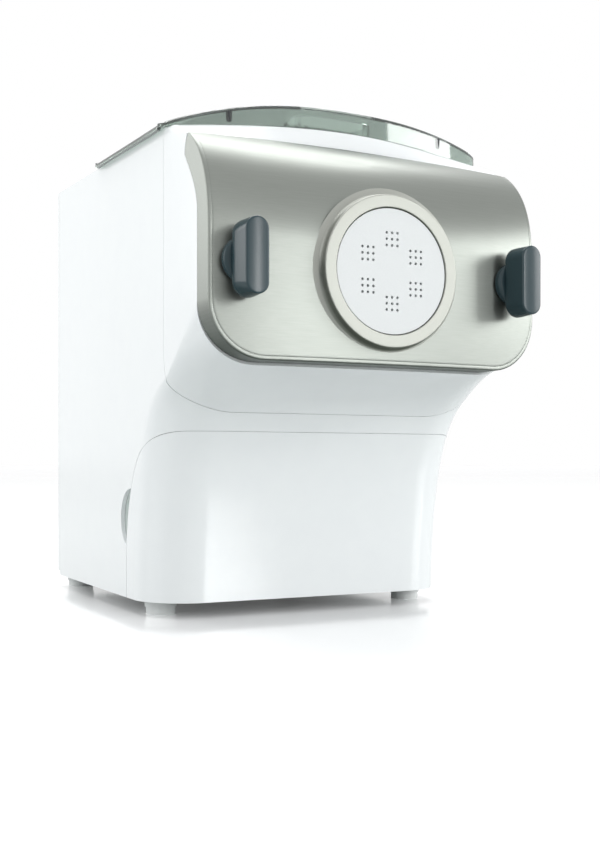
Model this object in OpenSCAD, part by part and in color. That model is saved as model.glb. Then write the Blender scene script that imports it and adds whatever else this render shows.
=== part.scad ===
// Electric pasta maker: a counter-top mixer and extruder with a lift-up clear lid,
// a clamped front plate, a shaping disc, a gear drive and a storage drawer.
// Millimetres, +Z up, +Y to the rear. The origin is on the counter under the middle of the body.
// Inside the modules y is measured from the face of the front plate (see place()).

/* [Body] */
// Width over the side walls
body_w = 213; // [206:1:220]
// Depth from the front plate's face to the rear cover's face
body_d = 317; // [311:1:329]
// Height of the side walls' top edge where the front bezel ends
wall_top_z = 287; // [285:1:290]
// Height of the side walls' top edge at the rear
rear_top_z = 301; // [298:1:303]
// Rise of the lid's crown over the top of the side walls
crown_rise = 18; // [14:0.5:24]
// Clearance between the counter and the housing's lower edge
floor_gap = 9; // [8:0.5:10]
// Wall thickness of the moulded covers
wall = 2.6; // [2.2:0.1:3]
// Visible seam between two moulded covers
seam = 0.3; // [0.2:0.05:0.5]
// Depth of the front bezel, back to its upright seam
bezel_d = 73; // [70:1:78]
// Height of the bezel's lower seam
bezel_seam_z = 124; // [122:1:126]
// Height of the drawer's upper seam
drawer_seam_z = 113; // [110:1:115]
// Setback of the drawer's face at the foot of the body
base_setback = 93; // [90:1:98]
// Plan radius of the body's front corners
corner_r = 34; // [31:1:37]

/* [Front plate] */
// Thickness of the front plate
plate_t = 15.4; // [15:0.1:16.5]
// Height of the front plate's lower edge
plate_bottom_z = 149; // [148:0.5:151]
// Radius of the front plate's lower corners
plate_corner_r = 32; // [28:1:36]
// Height at which the plate starts to curve back
curve_start_z = 215; // [213:1:217]
// Radius of the plate's backward curve
curve_r = 71; // [70:0.5:72]
// Height of the plate's top edge at the sides
plate_top_z = 274.5; // [273:0.5:276]
// Rise of the plate's top edge in the middle
plate_crown = 6; // [4:0.5:7]
// How far the plate's sides sweep back from its middle
plate_bow = 5; // [2:0.5:6]
// Wall of the moulded front plate
plate_wall = 3; // [2.6:0.1:3.4]
// Thickness of the steel backing plate
backing_t = 4; // [3:0.5:5]

/* [Mouth] */
// Height of the extruder's axis
axis_z = 201; // [200:0.5:202]
// Outer radius of the mouth ring
ring_r = 42.8; // [41.5:0.1:43.5]
// Radius of the ring's flared foot
ring_foot_r = 47.5; // [46:0.5:49]
// How far the ring stands out of the plate
ring_reach = 6; // [5:0.5:7]
// Radius of the shaping disc's visible face
disc_r = 35.1; // [34:0.1:36]
// Depth of the disc's face below the ring's rim
disc_recess = 0.8; // [0.5:0.1:1.5]
// Radius of one dough hole
hole_r = 0.8; // [0.5:0.1:1]
// Spacing of the dough holes in a cluster
hole_pitch = 3.5; // [3:0.1:4]
// Radius of the circle that the clusters lie on
cluster_r = 18; // [16:0.5:20]
// Number of hole clusters
cluster_n = 6; // [4:1:8]
// Running clearance of turned fits
running = 0.05; // [0.03:0.01:0.1]
// Clearance of loose fits
loose = 0.3; // [0.25:0.05:0.5]

/* [Knobs] */
// Distance of each knob's axis from the side of the body
knob_inset = 18.5; // [17.5:0.5:20.5]
// How far the knobs stand out of the plate
knob_reach = 18; // [16:0.5:20]
// Height of the knob's grip
knob_h = 41; // [36:1:46]
// Width of the grip at its front
knob_w = 13.4; // [12:0.2:15]
// Width of the grip at its root
knob_root_w = 17; // [16:0.5:20]
// Radius of the round boss behind the grip
knob_boss_r = 12.5; // [11.5:0.5:15]
// Radius of the clamp stud
stud_r = 4; // [3:0.5:4.5]
// Radius of the assembly screws
screw_r = 1.6; // [1.4:0.1:1.8]

/* [Mixing chamber] */
// Inner radius of the trough
trough_r = 43.5; // [42:0.5:44]
// Distance of the chamber's mouth from the side of the body
mouth_inset = 26.5; // [24.5:1:30.5]
// Wall of the chamber
chamber_wall = 2.4; // [2:0.1:3]
// Depth kept behind the chamber for the drive
drive_d = 118; // [116:1:122]
// Reach of the mixing paddle from its axis
paddle_r = 41; // [38:0.5:41.5]
// Inner radius of the extrusion tube
tube_bore_r = 26; // [24:0.5:27]
// Length of the extrusion tube
tube_l = 72; // [64:1:80]

/* [Lid] */
// How far the lid stands out past each side wall
lid_overhang = 4; // [2.5:0.5:5.5]
// Thickness of the clear lid
lid_t = 2.2; // [1.8:0.1:2.6]
// Position of the lid's front edge in the middle
lid_front_y = 47; // [46:0.5:49]
// How far the lid's front edge sweeps back at the sides
lid_bow = 22; // [18:1:24]
// How far the lid reaches back past the rear frame
lid_rear_reach = 6; // [4:1:8]
// Radius of the hinge pins
pin_r = 1.5; // [1.2:0.1:1.8]

/* [Drive] */
// Teeth of the motor pinion
pinion_teeth = 10; // [10:1:12]
// Teeth of the first wheel
wheel_teeth = 70; // [66:1:72]
// Teeth of the second pinion
small_teeth = 12; // [12:1:14]
// Teeth of the output wheel
output_teeth = 60; // [56:1:62]
// Module of the first stage
module_1 = 1; // [0.9:0.05:1.05]
// Module of the second stage
module_2 = 1.5; // [1.4:0.05:1.55]
// Radius of the output shaft
shaft_r = 5; // [4:0.5:6]
// Radius of the motor's casing
motor_r = 36; // [32:1:38]
// Length of the motor's casing
motor_l = 52; // [46:1:54]

/* [Drawer and controls] */
// How deep the drawer's side seam lies behind the front plate's face
drawer_side_y = 142; // [139:1:145]
// Height of the drawer's tray
tray_h = 60; // [50:1:70]
// Radius of the drawer's finger notch
notch_r = 19; // [17:0.5:21]
// Radius of a control button
button_r = 6.5; // [5:0.5:7]
// Travel of a control button
button_travel = 1.2; // [0.8:0.1:1.5]
// Radius of a foot
foot_r = 10; // [8:0.5:11]

/* [Hidden] */
$fn = 64;

white = [0.93, 0.94, 0.94];
silver = [0.70, 0.68, 0.65];
slate = [0.30, 0.35, 0.37];
steel = [0.72, 0.73, 0.75];
clear = [0.62, 0.72, 0.68, 0.4];

// Distance from the front plate's face to the middle of the overall depth
gland_reach = 2;
front_y = -(knob_reach + body_d + gland_reach) / 2 + knob_reach;
half_w = body_w / 2;
inner_half_w = half_w - wall;
// Length of a cut that passes right through a part
through = 2 * body_d;

// Places that follow the width and the depth of the body
knob_x = half_w - knob_inset;
mouth_half_w = half_w - mouth_inset;
lid_half_w = half_w + lid_overhang;
rear_frame_y = body_d - drive_d;
rear_frame_t = 4;
lid_rear_y = rear_frame_y + lid_rear_reach;
chamber_y = plate_t + 0.6;
chamber_end_y = rear_frame_y - 4;
chamber_d = chamber_end_y - chamber_y;

// Rear parts of the covers
cover_d = 12;
cover_y = body_d - cover_d;
hood_y = lid_rear_y + 8.4;
bulkhead_y = 22;
bulkhead_t = 3;

// Curves of the front plate, the neck and the seams
slope = (rear_top_z - wall_top_z) / (body_d - bezel_d);
slope_angle = atan(slope);
neck = [
    [plate_t, plate_bottom_z - 1.5],
    [plate_t + 0.655 * (base_setback - plate_t), plate_bottom_z - 9],
    [plate_t + 0.935 * (base_setback - plate_t), plate_bottom_z - 31],
    [base_setback, floor_gap],
];
bezel_corner_r = 40.5;
bezel_rise = 19.5;
bezel_bend_z = 166;
drawer_corner_r = 18.5;
drawer_seam_drop = 10.7;
drawer_arc_low = 32;
// Part of the quarter ellipse that the corner's share of the drawer's seam takes, in degrees
drawer_arc_start = 17;
drawer_start_z = drawer_seam_z - drawer_seam_drop;
drawer_arc_z = (drawer_start_z - drawer_arc_low) / cos(drawer_arc_start);
drawer_arc_y = (drawer_side_y - neck_y(drawer_start_z) - corner_r) / (1 - sin(drawer_arc_start));
notch_y = drawer_side_y - 8;
notch_z = 59;
screw_nose_r = 4.5;
screw_core_r = 8;
swoop_low_z = 230;
swoop_high_z = 264;
swoop_y = 39;
sweep_power = 2.5;
swoop_steps = [0, 0.24, 0.47, 0.71, 0.88, 1];

// Layout of the drive
output_z = axis_z;
idler_z = output_z - module_2 * (small_teeth + output_teeth) / 2;
motor_z = idler_z - module_1 * (pinion_teeth + wheel_teeth) / 2;
stage2_y = rear_frame_y + rear_frame_t + 5;
stage2_t = 10;
stage1_y = stage2_y + stage2_t + 3;
stage1_t = 8;
gearbox_cover_y = stage1_y + stage1_t + 4;
gearbox_cover_t = 4;
gearbox_wall = 3;
motor_y = gearbox_cover_y + gearbox_cover_t;
idler_pin_r = 4;
rotor_shaft_r = 3;
backlash = 0.29;
wheel_r = module_1 * wheel_teeth / 2;
output_r = module_2 * output_teeth / 2;

crown_z = wall_top_z + crown_rise;

// Layout of the knobs and the mouth stack
knob_boss_t = 2.6;
knob_gap = 0.3;
sleeve_r = stud_r + 3;
sleeve_end_y = plate_t - 1.5;
stud_front_y = -1.6;
disc_face_y = -ring_reach + disc_recess;
disc_shoulder_y = 3;
disc_shoulder_r = disc_r + 2.4;
disc_back_y = 8;
tube_flange_t = 4;
tube_wall = 4;
ring_bore_r = disc_r + 0.4;
mouth_bore_r = disc_shoulder_r + 0.5;

// Layout of the lid
lid_edge_h = 3;
lid_drop = 1.2;
hinge_y = lid_rear_y + 3.4;
hinge_x = half_w - 36.5;
knuckle_l = 16;
knuckle_r = 3;
tray_y = lid_front_y + 26;
tray_half_w = 26;
tray_half_d = 14;
surround_t = 3;
surround_sink = 4;

// Layout of the controls, on the right-hand wall
panel_y = body_d - 58;
panel_z = 224;
panel_half_y = 32;
panel_half_z = 52;
panel_t = 3;
flange_t = 2;
flange_x = inner_half_w - loose - flange_t;
button_y = [-15, 15];
button_z = [-10, -34];
button_cap = 1;
display_half_y = 23;
display_half_z = 15;
display_dz = 27;
board_gap = 9;
button_flange_t = 1.1;
gland_x = half_w - 40.5;
gland_z = 36;
gland_neck_r = 6;
post_r = 4;
switch_body_y = 112;
switch_x = half_w - 10.5;

// Layout of the feet and the base
foot_x = half_w - 16.8;
foot_front_y = base_setback + 32;
foot_rear_y = body_d - 11;
rear_corner_r = 9;
foot_lower_h = 4.6;
base_t = 3;
base_front_y = base_setback + wall + 3;

// Moves a part from plate coordinates to the row frame
module place() translate([0, front_y, 0]) children();

// ---------- curve functions ----------

function mix(a, b, t) = a + (b - a) * t;
function bezier(p, t) =
    pow(1 - t, 3) * p[0] + 3 * t * pow(1 - t, 2) * p[1] + 3 * t * t * (1 - t) * p[2] + pow(t, 3) * p[3];
// Bezier parameter at which the neck's profile passes height z
function neck_t(z, lo = 0, hi = 1, n = 18) =
    n == 0 ? (lo + hi) / 2
    : let (m = (lo + hi) / 2)
      bezier(neck, m)[1] > z ? neck_t(z, m, hi, n - 1) : neck_t(z, lo, m, n - 1);
// Setback of the body's front surface at height z
function neck_y(z) =
    z >= neck[0][1] ? neck[0][0] : z <= neck[3][1] ? neck[3][0] : bezier(neck, neck_t(z))[0];
// Height of the side walls' top edge
function edge_z(y) = wall_top_z + slope * (y - bezel_d);
// Height of the crowned top surface over the lid and the hood
function top_z(x, y) =
    let (e = edge_z(y) + lid_edge_h)
    crown_z - (crown_z - e) * pow(min(1, abs(x) / lid_half_w), 2);
// Setback of the plate's face at height z
function curve_y(z) =
    z <= curve_start_z ? 0 : curve_r - sqrt(max(0, pow(curve_r, 2) - pow(z - curve_start_z, 2)));
// How far the plate's face lies behind its middle at x
function sweep(x) = plate_bow * pow(min(1, abs(x) / half_w), sweep_power);
// Share of the sweep that is left at height z; it fades out over the backward curve
function sweep_share(z) =
    z <= curve_start_z ? 1 : z >= plate_top_z ? 0
    : pow(cos(90 * (z - curve_start_z) / (plate_top_z - curve_start_z)), 2);
function face_y(x, z) = curve_y(z) + sweep(x) * sweep_share(z);
// Lower edge of the plate's side wing: where the bezel's side starts
function wing_y(z) =
    let (t = max(0, min(1, (z - swoop_low_z) / (swoop_high_z - swoop_low_z))))
    mix(plate_t + plate_bow, swoop_y, t * t * (1.6 - 0.6 * t));
// Heights at which the wing's swoop has a station
function swoop_rows() = [for (s = swoop_steps) mix(swoop_low_z, swoop_high_z, s)];
// Body surface: u is the distance along the front, and then round the corner and down the side
function body_point(u, z) =
    let (r = corner_r, flat = half_w - r, arc = r * PI / 2, y = neck_y(z))
    u <= flat ? [u, y, z]
    : u <= flat + arc ? let (a = (u - flat) / r * 180 / PI) [flat + r * sin(a), y + r - r * cos(a), z]
    : [half_w, y + r + (u - flat - arc), z];
function side_point(y, z) = [half_w, y, z];
// Height of the drawer's seam on the side wall
function drawer_side_z(y) =
    y >= drawer_side_y ? floor_gap
    : drawer_arc_low + drawer_arc_z
      * sqrt(max(0, 1 - pow(max(0, y - (drawer_side_y - drawer_arc_y)) / drawer_arc_y, 2)));
function mirrored(p) = [-p[0], p[1], p[2]];
function reversed(l) = [for (i = [len(l) - 1:-1:0]) l[i]];
function unit(v) = v / max(norm(v), 1e-9);
function arc_points(cx, cy, r, a0, a1, n) =
    [for (i = [0:n]) let (a = mix(a0, a1, i / n)) [cx + r * cos(a), cy + r * sin(a)]];

// ---------- shells built from a grid of points ----------

// Normal of the grid at column i and row j
function grid_normal(g, i, j, closed) =
    let (n = len(g), m = len(g[0]),
         a = g[closed ? (i + 1) % n : min(i + 1, n - 1)][j] - g[closed ? (i + n - 1) % n : max(i - 1, 0)][j],
         b = g[i][min(j + 1, m - 1)] - g[i][max(j - 1, 0)])
    unit(cross(a, b));

// A wall of even thickness on the inner side of a grid; closed joins the last column to the first
module grid_shell(g, t, closed = false) {
    n = len(g);
    m = len(g[0]);
    outer = [for (c = g, p = c) p];
    inner = [for (i = [0:n - 1], j = [0:m - 1]) g[i][j] - t * grid_normal(g, i, j, closed)];
    spans = closed ? n : n - 1;
    at = function(side, i, j) side * n * m + (i % n) * m + j;
    quads = concat(
        [for (i = [0:spans - 1], j = [0:m - 2])
            [at(0, i, j), at(0, i, j + 1), at(0, i + 1, j + 1), at(0, i + 1, j)]],
        [for (i = [0:spans - 1], j = [0:m - 2])
            [at(1, i, j), at(1, i + 1, j), at(1, i + 1, j + 1), at(1, i, j + 1)]],
        [for (i = [0:spans - 1]) [at(0, i, 0), at(0, i + 1, 0), at(1, i + 1, 0), at(1, i, 0)]],
        [for (i = [0:spans - 1]) [at(0, i, m - 1), at(1, i, m - 1), at(1, i + 1, m - 1), at(0, i + 1, m - 1)]],
        closed ? [] : [for (j = [0:m - 2]) [at(0, 0, j), at(1, 0, j), at(1, 0, j + 1), at(0, 0, j + 1)]],
        closed ? [] : [for (j = [0:m - 2])
            [at(0, n - 1, j), at(0, n - 1, j + 1), at(1, n - 1, j + 1), at(1, n - 1, j)]]
    );
    triangles = [for (q = quads) each [[q[0], q[1], q[2]], [q[0], q[2], q[3]]]];
    polyhedron(points = concat(outer, inner), faces = triangles, convexity = 8);
}

// Columns of the right half, from the middle out, mirrored into a whole band from left to right
function whole_band(half) = concat([for (c = reversed(half)) [for (p = c) mirrored(p)]],
                                   [for (i = [1:len(half) - 1]) half[i]]);

// ---------- covers ----------

// Height of the bezel's seam over a column u of the body surface
function bezel_seam_at(u) =
    let (flat = half_w - corner_r, arc = corner_r * PI / 2, start = half_w - bezel_corner_r,
         t = max(0, (u - start) / (flat + arc - start)))
    bezel_seam_z + bezel_rise * t * t * (1.9 - 0.9 * t);

// Height of the drawer's seam over a column u of the body surface
function drawer_seam_at(u) =
    let (flat = half_w - corner_r, arc = corner_r * PI / 2, start = half_w - drawer_corner_r,
         t = max(0, (u - start) / (flat + arc - start)))
    drawer_seam_z - drawer_seam_drop * pow(t, 2.5);

// Bezel seam on the side wall, from the body's corner (t = 0) round to the upright line (t = 1)
function bezel_bend(t, gap = 0) =
    let (z0 = bezel_seam_z + bezel_rise, y0 = neck_y(z0) + corner_r,
         a = [y0, z0], b = [bezel_d, z0 + 0.36 * (bezel_d - y0)], c = [bezel_d, bezel_bend_z],
         d = unit(mix(b - a, c - b, t)))
    pow(1 - t, 2) * a + 2 * t * (1 - t) * b + t * t * c + gap * [d[1], -d[0]];
// Drawer seam on the side wall, as an ellipse from its top (t = 0) to its rear (t = 1)
function drawer_bend(t, gap = 0) =
    let (a = mix(drawer_arc_start, 90, t))
    [drawer_side_y - drawer_arc_y + (drawer_arc_y + gap) * sin(a),
     drawer_arc_low + (drawer_arc_z + gap) * cos(a)];

front_steps = [0, 0.3, 0.6, 0.8, 0.92, 1];
corner_steps = [for (i = [1:8]) i / 8];
function front_columns() =
    let (flat = half_w - corner_r, arc = corner_r * PI / 2)
    concat([for (s = front_steps) s * flat], [for (s = corner_steps) flat + s * arc]);

// Column of the side wall between two points [y, z]
function side_column(low, high, rows) =
    [for (j = [0:rows]) side_point(mix(low[0], high[0], j / rows), mix(low[1], high[1], j / rows))];

// Front strip and side walls, one moulding
module main_shell() {
    rows = 6;
    rear_y = cover_y - seam;
    strip = [for (u = front_columns()) let (lo = drawer_seam_at(u), hi = bezel_seam_at(u) - seam)
        [for (j = [0:rows]) body_point(u, mix(lo, hi, j / rows))]];
    // the corner's curved edge straightens out over the columns of the side wall
    edge = strip[len(strip) - 1];
    bow = edge - side_column([edge[0][1], edge[0][2]], [edge[rows][1], edge[rows][2]], rows);
    bend = [for (i = [1:6])
        side_column(drawer_bend(i * 0.03, seam), bezel_bend(i / 6, seam), rows) + (1 - 0.02 * i) * bow];
    upright = [for (i = [1:3])
        side_column(drawer_bend(0.18 + i * 0.02, seam),
                    [bezel_d + seam, mix(bezel_bend_z, edge_z(bezel_d), i / 3)], rows)
            + (0.88 - 0.03 * i) * bow];
    // columns lean back, so that none crosses the upright end of the drawer's seam
    lean = 30;
    back = [for (i = [1:8]) let (y = mix(bezel_d, drawer_side_y + lean, sin(i / 8 * 90)))
        side_column(drawer_bend(mix(0.24, 1, i / 8), seam), [y, edge_z(y)], rows)
            + 0.79 * (1 - i / 8) * bow];
    rear = [for (i = [0:3]) let (low = mix(drawer_side_y + seam, rear_y, i / 3),
                                 high = mix(drawer_side_y + 1.3 * lean, rear_y, i / 3))
        side_column([low, floor_gap], [high, edge_z(high)], rows)];
    color(white) difference() {
        grid_shell(whole_band(concat(strip, bend, upright, back, rear)), wall);
        // finger notches behind the drawer's edge
        for (s = [-1, 1])
            translate([s * half_w, notch_y, notch_z]) rotate([0, 90, 0])
                cylinder(r = notch_r, h = 4 * wall, center = true);
        // window for the control panel
        translate([half_w, panel_y, panel_z])
            cube([4 * wall, 2 * panel_half_y, 2 * panel_half_z], center = true);
    }
}

// Column of the bezel below the plate, swept back to the seam
function bezel_bottom(u) =
    let (end = half_w - corner_r + corner_r * PI / 2, r = plate_corner_r, start = half_w - r,
         t = min(1, u / end), a = 90 * max(0, (u - start) / (end - start)), low = neck[0][1],
         x = u < start ? u : start + r * sin(a),
         i = [x, plate_t + seam + 1.05 * sweep(x), u < start ? low : low + r * (1 - cos(a))],
         o = body_point(u, bezel_seam_at(u)),
         m = [mix(i[0], o[0], 0.5), mix(i[1], o[1], mix(0.72, 0.5, t * t)),
              mix(i[2], o[2], mix(0.22, 0.5, t * t))])
    [for (j = [0:6]) let (s = j / 6) pow(1 - s, 2) * i + 2 * s * (1 - s) * m + s * s * o];

// Column of the bezel on the side, from the plate's wing to the point [y, z] on the seam
function bezel_side(zi, o) =
    [for (j = [0:6]) side_point(mix(wing_y(zi) + seam, o[0], j / 6), mix(zi, o[1], j / 6))];

function bezel_edge_y(x) = lid_front_y - seam + lid_bow * pow(abs(x) / half_w, 2);
function bezel_edge_z(x) = edge_z(bezel_edge_y(x)) + plate_crown * (1 - pow(x / half_w, 2));

// Column of the bezel above the plate, rolled back under the lid's front edge
function bezel_top(x) =
    let (zi = plate_top_z + 0.6 + plate_crown * (1 - pow(x / half_w, 2)),
         yi = curve_y(zi - 0.6) + 1.2 + 2 * x / half_w,
         yo = bezel_edge_y(x), zo = bezel_edge_z(x))
    [for (j = [0:6]) let (s = j / 6) [x, mix(yi, yo, s), mix(zi, zo, sin(90 * s))]];

// White surround of the front plate
module front_bezel() {
    low_z = neck[0][1] + plate_corner_r;
    corner_y = bezel_edge_y(half_w);
    bottom = [for (u = front_columns()) bezel_bottom(u)];
    bend_top = low_z + 15.6;
    bend = [for (i = [1:6]) bezel_side(mix(low_z, bend_top, i / 6), bezel_bend(i / 6))];
    below_swoop = [for (t = [0.3, 0.65]) mix(bend_top, swoop_low_z, t)];
    upright = [for (z = concat(below_swoop, swoop_rows()))
        let (t = (z - bend_top) / (swoop_high_z - bend_top))
        bezel_side(z, [bezel_d, mix(bezel_bend_z, edge_z(bezel_d) - 6, t)])];
    tip_in = [[swoop_y - 0.6, swoop_high_z + 4], [swoop_y - 2.5, plate_top_z - 2],
              [curve_y(plate_top_z) + 2.8, plate_top_z + seam]];
    tip_out = [[bezel_d, edge_z(bezel_d) - 3], [bezel_d, edge_z(bezel_d)], [corner_y, edge_z(corner_y)]];
    tip = [for (k = [0:2]) [for (j = [0:6])
        let (p = mix(tip_in[k], tip_out[k], j / 6)) side_point(p[0] + seam, p[1])]];
    top = [for (x = [0.985, 0.95, 0.85, 0.7, 0.5, 0.3, 0.15, 0]) bezel_top(x * half_w)];
    half = concat(bottom, bend, upright, tip, top);
    left = [for (i = [len(half) - 2:-1:1]) [for (p = half[i]) mirrored(p)]];
    color(white) grid_shell([for (c = concat(half, left)) reversed(c)], wall, closed = true);
}

// Outline of the body seen from the front, with a crowned top edge
module crowned_outline(inset, low, y) {
    w = half_w - inset;
    n = 16;
    polygon(concat([[-w, low + inset], [w, low + inset]],
                   [for (i = [0:n]) let (x = mix(w, -w, i / n)) [x, hood_z(x, y) - inset]]));
}

// Rear cover with cooling slots
module rear_cover() {
    low = floor_gap + base_t + seam;
    slot_l = 46;
    color(white) difference() {
        intersection() {
            translate([0, body_d, 0]) rotate([90, 0, 0]) linear_extrude(cover_d)
                crowned_outline(0, low, cover_y);
            linear_extrude(crown_z + 10) rear_plan(half_w, body_d, rear_corner_r);
        }
        translate([0, body_d - wall, 0]) rotate([90, 0, 0]) linear_extrude(cover_d)
            crowned_outline(wall, low, cover_y);
        for (side = [-1, 1], k = [0:6])
            translate([side * 42 - slot_l / 2, body_d - 2 * wall, 70 + k * 9]) cube([slot_l, 4 * wall, 3.4]);
        on_axis(gland_z, body_d - 2 * wall, 4 * wall) translate([gland_x, 0, 0])
            cylinder(r = gland_neck_r + 0.1, h = 4 * wall);
        for (p = post_places()) translate([p[0], 0, 0])
            on_axis(p[1], body_d - 2 * wall, 4 * wall) cylinder(r = screw_r + 0.1, h = 4 * wall);
    }
}
module rear_plan(w, d, r) {
    polygon(concat([[-w, d - 60], [w, d - 60]], arc_points(w - r, d - r, r, 0, 90, 12),
                   arc_points(-w + r, d - r, r, 90, 180, 12)));
}
function hood_z(x, y) = edge_z(y) + (crown_z - 0.5 - edge_z(y)) * (1 - pow(x / half_w, 2));

// Crowned top cover behind the lid
module rear_hood() {
    w = inner_half_w - seam;
    rear_y = cover_y - seam;
    g = [for (i = [-10:10]) let (x = i / 10 * w) concat(
        [for (t = [0, 0.5]) [x, hood_y, mix(edge_z(hood_y) - surround_sink + seam, hood_z(x, hood_y), t)]],
        [for (t = [0, 0.33, 0.66, 1]) let (y = mix(hood_y, rear_y, t)) [x, y, hood_z(x, y)]])];
    color(white) grid_shell(g, wall);
}

// Ledge round the chamber's mouth, below the lid
module chamber_surround() {
    y0 = lid_front_y + lid_bow + 6;
    y1 = hood_y - seam;
    w = inner_half_w - seam;
    color(white) translate([0, 0, edge_z(0) - surround_sink])
        rotate([slope_angle, 0, 0]) difference() {
            translate([0, 0, -surround_t]) linear_extrude(surround_t) difference() {
                polygon([[-w, y0], [w, y0], [w, y1 + 2], [-w, y1 + 2]]);
                translate([-mouth_half_w - chamber_wall - loose, 0])
                    square([2 * (mouth_half_w + chamber_wall + loose), rear_frame_y - 2]);
                translate([switch_x, switch_body_y]) circle(r = 2.6);
            }
        }
}

// Floor of the housing
module base_plate() {
    w = inner_half_w - loose;
    r = corner_r - wall - loose;
    rr = rear_corner_r;
    color(white) difference() {
        translate([0, 0, floor_gap]) linear_extrude(base_t)
            polygon(concat(arc_points(-w + r, base_front_y + r, r, 180, 270, 8),
                           arc_points(w - r, base_front_y + r, r, 270, 360, 8),
                           arc_points(w - rr, body_d - rr, rr, 0, 90, 6),
                           arc_points(-w + rr, body_d - rr, rr, 90, 180, 6)));
        for (p = foot_places()) translate([p[0], p[1], floor_gap - 1]) cylinder(r = 3, h = base_t + 2);
        for (k = [-3:3]) translate([k * 16 - 4, motor_y, floor_gap - 1]) cube([8, 40, base_t + 2]);
    }
}
function foot_places() = [for (s = [-1, 1], y = [foot_front_y, foot_rear_y]) [s * foot_x, y]];

module rubber_feet() {
    color([0.85, 0.87, 0.86]) for (p = foot_places()) translate([p[0], p[1], 0]) {
        cylinder(r = foot_r - 0.8, h = foot_lower_h);
        translate([0, 0, foot_lower_h]) cylinder(r = foot_r, h = floor_gap - foot_lower_h);
        cylinder(r = 2.9, h = floor_gap + base_t - 0.1);
    }
}

// ---------- front structure ----------

// Front view outline inside the bezel, with round lower corners
module plate_outline(w, low, r, top, crown) {
    n = 16;
    polygon(concat(arc_points(-w + r, low + r, r, 180, 270, 10), arc_points(w - r, low + r, r, 270, 360, 10),
                   [for (i = [0:n]) let (x = mix(w, -w, i / n)) [x, top + crown * (1 - pow(x / w, 2))]]));
}

module stud_places() {
    for (s = [-1, 1]) translate([s * knob_x, 0, axis_z]) rotate([90, 0, 0]) children();
}

// Moulded front plate: a curved tray with side wings
module front_panel() {
    n = 14;
    high = plate_top_z + plate_crown;
    stations = [for (i = [-n:n]) (half_w + 1) * i / n];
    heights = concat([plate_bottom_z - 1], [for (i = [0:n]) mix(curve_start_z, high + 1, i / n)]);
    wing_face = [for (z = heights) if (z >= curve_start_z && z < plate_top_z) [face_y(half_w, z) + 0.5, z]];
    wing_back = [for (z = swoop_rows()) [wing_y(z), z]];
    color(silver) difference() {
        union() {
            intersection() {
                grid_shell([for (x = stations) [for (z = heights) [x, face_y(x, z), z]]], plate_wall);
                upright_extrude(60)
                    plate_outline(half_w, plate_bottom_z, plate_corner_r, plate_top_z, plate_crown);
            }
            // rim of the tray
            intersection() {
                translate([0, 0, plate_bottom_z - 1]) linear_extrude(curve_start_z - plate_bottom_z + 1)
                    polygon(concat([for (x = stations) [x, sweep(x)]],
                                   reversed([for (x = stations) [x, plate_t + sweep(x)]])));
                upright_extrude(60) difference() {
                    plate_outline(half_w, plate_bottom_z, plate_corner_r, curve_start_z, 0);
                    plate_outline(half_w - plate_wall, plate_bottom_z + plate_wall,
                                  plate_corner_r - plate_wall, curve_start_z + 1, 0);
                }
            }
            for (s = [-1, 1]) wing(s, wing_face, wing_back);
            for (p = screw_places()) translate([p[0], 0, p[1]]) rotate([90, 0, 0])
                translate([0, 0, backing_t - plate_t + 0.02])
                    cylinder(r = 4, h = plate_t - backing_t - plate_wall);
        }
        for (p = screw_places()) translate([p[0], 0, p[1]]) rotate([90, 0, 0])
            translate([0, 0, -through]) cylinder(r = screw_r, h = through - plate_wall);
        translate([0, 0, axis_z]) rotate([90, 0, 0]) cylinder(r = mouth_bore_r, h = through, center = true);
        stud_places() cylinder(r = sleeve_r + loose, h = through, center = true);
    }
}

// Extrudes a front view backwards from the plate's face
module upright_extrude(depth) translate([0, depth, 0]) rotate([90, 0, 0]) linear_extrude(depth) children();

// Side wing of the plate, which runs back along the top corner
module wing(s, face, back) {
    translate([s > 0 ? half_w - plate_wall : -half_w, 0, 0]) rotate([90, 0, 90]) linear_extrude(plate_wall)
        polygon(concat(face, [[curve_y(plate_top_z) + 0.5, plate_top_z]],
                       [[mix(curve_y(plate_top_z), swoop_y, 0.7), mix(plate_top_z, swoop_high_z, 0.35)]],
                       reversed(back), [[plate_t + plate_bow, curve_start_z]]));
}

// Steel plate inside the front plate, which closes the chamber
module backing_plate() {
    w = half_w - plate_wall - loose;
    color(steel) difference() {
        translate([0, plate_t - backing_t, 0]) upright_extrude(backing_t)
            plate_outline(w, plate_bottom_z + plate_wall + loose, plate_corner_r - plate_wall - loose,
                          swoop_low_z - 1, 0);
        translate([0, 0, axis_z]) rotate([90, 0, 0]) cylinder(r = mouth_bore_r, h = through, center = true);
        stud_places() cylinder(r = sleeve_r + loose, h = through, center = true);
        for (p = screw_places()) translate([p[0], 0, p[1]]) rotate([90, 0, 0])
            cylinder(r = screw_r + 0.1, h = through, center = true);
    }
}
function screw_places() = [for (s = [-1, 1], z = [axis_z - 34, axis_z + 20]) [s * (ring_foot_r + 14), z]];

module plate_screws() {
    color(steel) for (p = screw_places()) translate([p[0], 0, p[1]]) rotate([90, 0, 0]) {
        translate([0, 0, -plate_t]) cylinder(r = screw_r - 0.01, h = plate_t - plate_wall - 0.1);
        translate([0, 0, -plate_t - 0.2]) cylinder(r = 2.6, h = 0.2);
    }
}

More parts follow.
